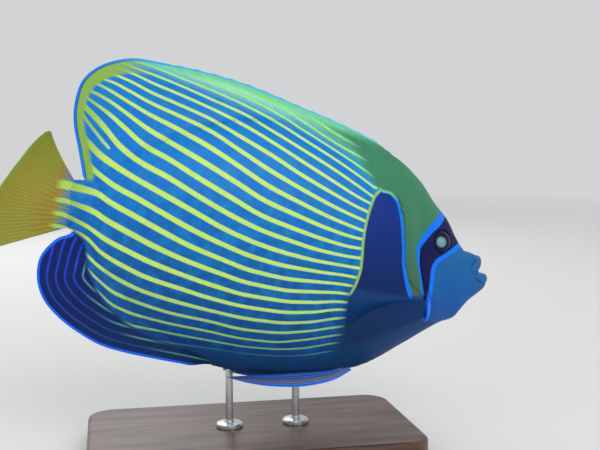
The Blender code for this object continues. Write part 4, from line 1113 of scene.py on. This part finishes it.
def wood_paint():
    n = Nodes("wood_paint")
    grain = n.noise(1.6, 6, n.stretched((9, 90, 90)), 0.62)
    pores = n.noise(1, 3, n.stretched((40, 1400, 1400)))
    tint = n.lay((46, 27, 18), (grain.step(0.3, 0.7), (92, 58, 38)),
                 (pores.step(0.58, 0.75) * 0.6, (28, 16, 11)))
    n.bump(pores, 0.18, 0.0003)
    return n.finish(tint, grain.map(0.3, 0.7, 0.42, 0.32), coat=0.12)


def steel_paint():
    n = Nodes("steel_paint")
    brush = n.noise(1, 3, n.stretched((60, 60, 5200)))
    n.bump(brush, 0.12, 0.0001)
    return n.finish(n.mix(brush, (176, 178, 182), (206, 208, 210)),
                    brush.map(0.3, 0.7, 0.24, 0.4), metallic=1)


def area_light(name, at, size, power):
    """A soft rectangular light turned to the fish."""
    light = bpy.data.lights.new(name, "AREA")
    light.shape = "RECTANGLE"
    light.size, light.size_y = size
    light.energy = power
    obj = bpy.data.objects.new(name, light)
    bpy.context.scene.collection.objects.link(obj)
    obj.location = at
    towards = Vector((0.0, 0.0, 0.14)) - Vector(at)
    obj.rotation_euler = towards.to_track_quat("-Z", "Y").to_euler()


def studio():
    """A pale floor, soft lights and the camera at the photo's angle and framing."""
    scene = bpy.context.scene
    scene.view_settings.view_transform = "Standard"
    floor = mesh_piece("floor", [(-30, -30, 0), (30, -30, 0), (30, 30, 0), (-30, 30, 0)],
                       [(0, 1, 2, 3)], smooth=False)
    n = Nodes("floor_painted_light")
    away = n.new("ShaderNodeVectorMath", {0: n.place()}, operation="LENGTH").outputs["Value"]
    # Painted light: the floor is painted greyer near the fish and whiter far off, a painted
    # brightening of the distant floor
    tint = n.mix(Value(n, away).step(0.9, 3.6), (224, 224, 223), (254, 254, 254))
    floor.data.materials.append(n.finish(tint, 0.9, specular=0.1))

    world = bpy.data.worlds.new("studio")
    world.use_nodes = True
    sky = world.node_tree.nodes["Background"].inputs
    sky[0].default_value, sky[1].default_value = (0.98, 0.99, 1.0, 1), 0.66
    scene.world = world
    area_light("key", (0.4, -1.3, 1.0), (1.1, 1.1), 10.5)
    area_light("fill", (-1.1, -0.7, 0.6), (0.9, 0.9), 2.0)
    area_light("rim", (-0.3, 1.3, 1.0), (1.0, 0.8), 8.0)

    aim, distance = Vector(POSE_AT) + Vector((0.14814, 0, -0.01586)), 0.57868
    turn, lift = math.radians(-12), math.radians(5)
    back = Vector((math.sin(turn) * math.cos(lift), -math.cos(turn) * math.cos(lift),
                   math.sin(lift)))
    right = Vector((math.cos(turn), math.sin(turn), 0))
    lens = bpy.data.cameras.new("camera")
    lens.lens, lens.sensor_width, lens.clip_start = 55, 36, 0.01
    camera = bpy.data.objects.new("camera", lens)
    scene.collection.objects.link(camera)
    camera.location = aim + back * distance
    camera.rotation_euler = Matrix((right, back.cross(right), back)).transposed().to_euler()
    scene.camera = camera


def main():
    skin_look = body_paint("skin_paint", 0.48)
    scale_look = body_paint("scale_paint", 0.44, grain=False)
    dress(body_skin(), skin_look,
          ["head", "trunk", "tail_stalk", "gill_cover_right", "gill_cover_left", "upper_jaw",
           "lower_jaw"])

    x, z, arc, size = keep_scales(body_scale_places()).T
    for word, side in SIDES:
        rows = xyz(x, z, side, arc, size)
        for part, chosen in (("rear", x < 0.1), ("mid", (x >= 0.1) & (x < 0.185)),
                             ("front", x >= 0.185)):
            px, pz = x[chosen], z[chosen]
            frames = side_frames(px, pz, side, SCALE_DEPTH, relief(px, pz))
            scales("scales_%s_%s" % (part, word), rows[chosen], frames, scale_look,
                   7 + int(side))

    fin_look = body_paint("fin_paint", 0.5)
    for name, node, slot, form in (
        ("dorsal_spiny", "dorsal_fin_spiny", "dorsal_fin",
         (DORSAL_BASE, DORSAL_MARGIN, (0.0, DORSAL_SPLIT + DORSAL_LAP), DORSAL_SPINES, True)),
        ("dorsal_soft", "dorsal_fin_soft", "dorsal_fin",
         (DORSAL_BASE, DORSAL_MARGIN, (DORSAL_SPLIT, 1.0), DORSAL_SOFT_RAYS, False)),
        ("anal", "anal_fin", "anal_fin", (ANAL_BASE, ANAL_MARGIN, (0.0, 1.0), ANAL_RAYS, False)),
    ):
        median_fin(name, form, fin_look, [node])
        median_scales("scales_" + name, form, scale_look)
    tail_fin(tail_paint())
    pectoral_look, pelvic_look = pectoral_paint(), pelvic_paint()
    eye_look, spine_look = eye_paint(), spine_paint()
    for word, side in SIDES:
        pectoral_fin(word, side, pectoral_look)
        pelvic_fin(word, side, pelvic_look)
        eye(word, side, eye_look)
        cheek_spine(word, side, spine_look)
    lips = lip_paint()
    for name, form in LIPS.items():
        lip(name, *form, lips)

    wood, steel = wood_paint(), steel_paint()
    for name, look in (("stand_base", wood), ("stand_rod_front", steel),
                       ("stand_rod_rear", steel)):
        node = bpy.data.objects[name]
        node.data.materials.clear()
        node.data.materials.append(look)
    studio()


main()
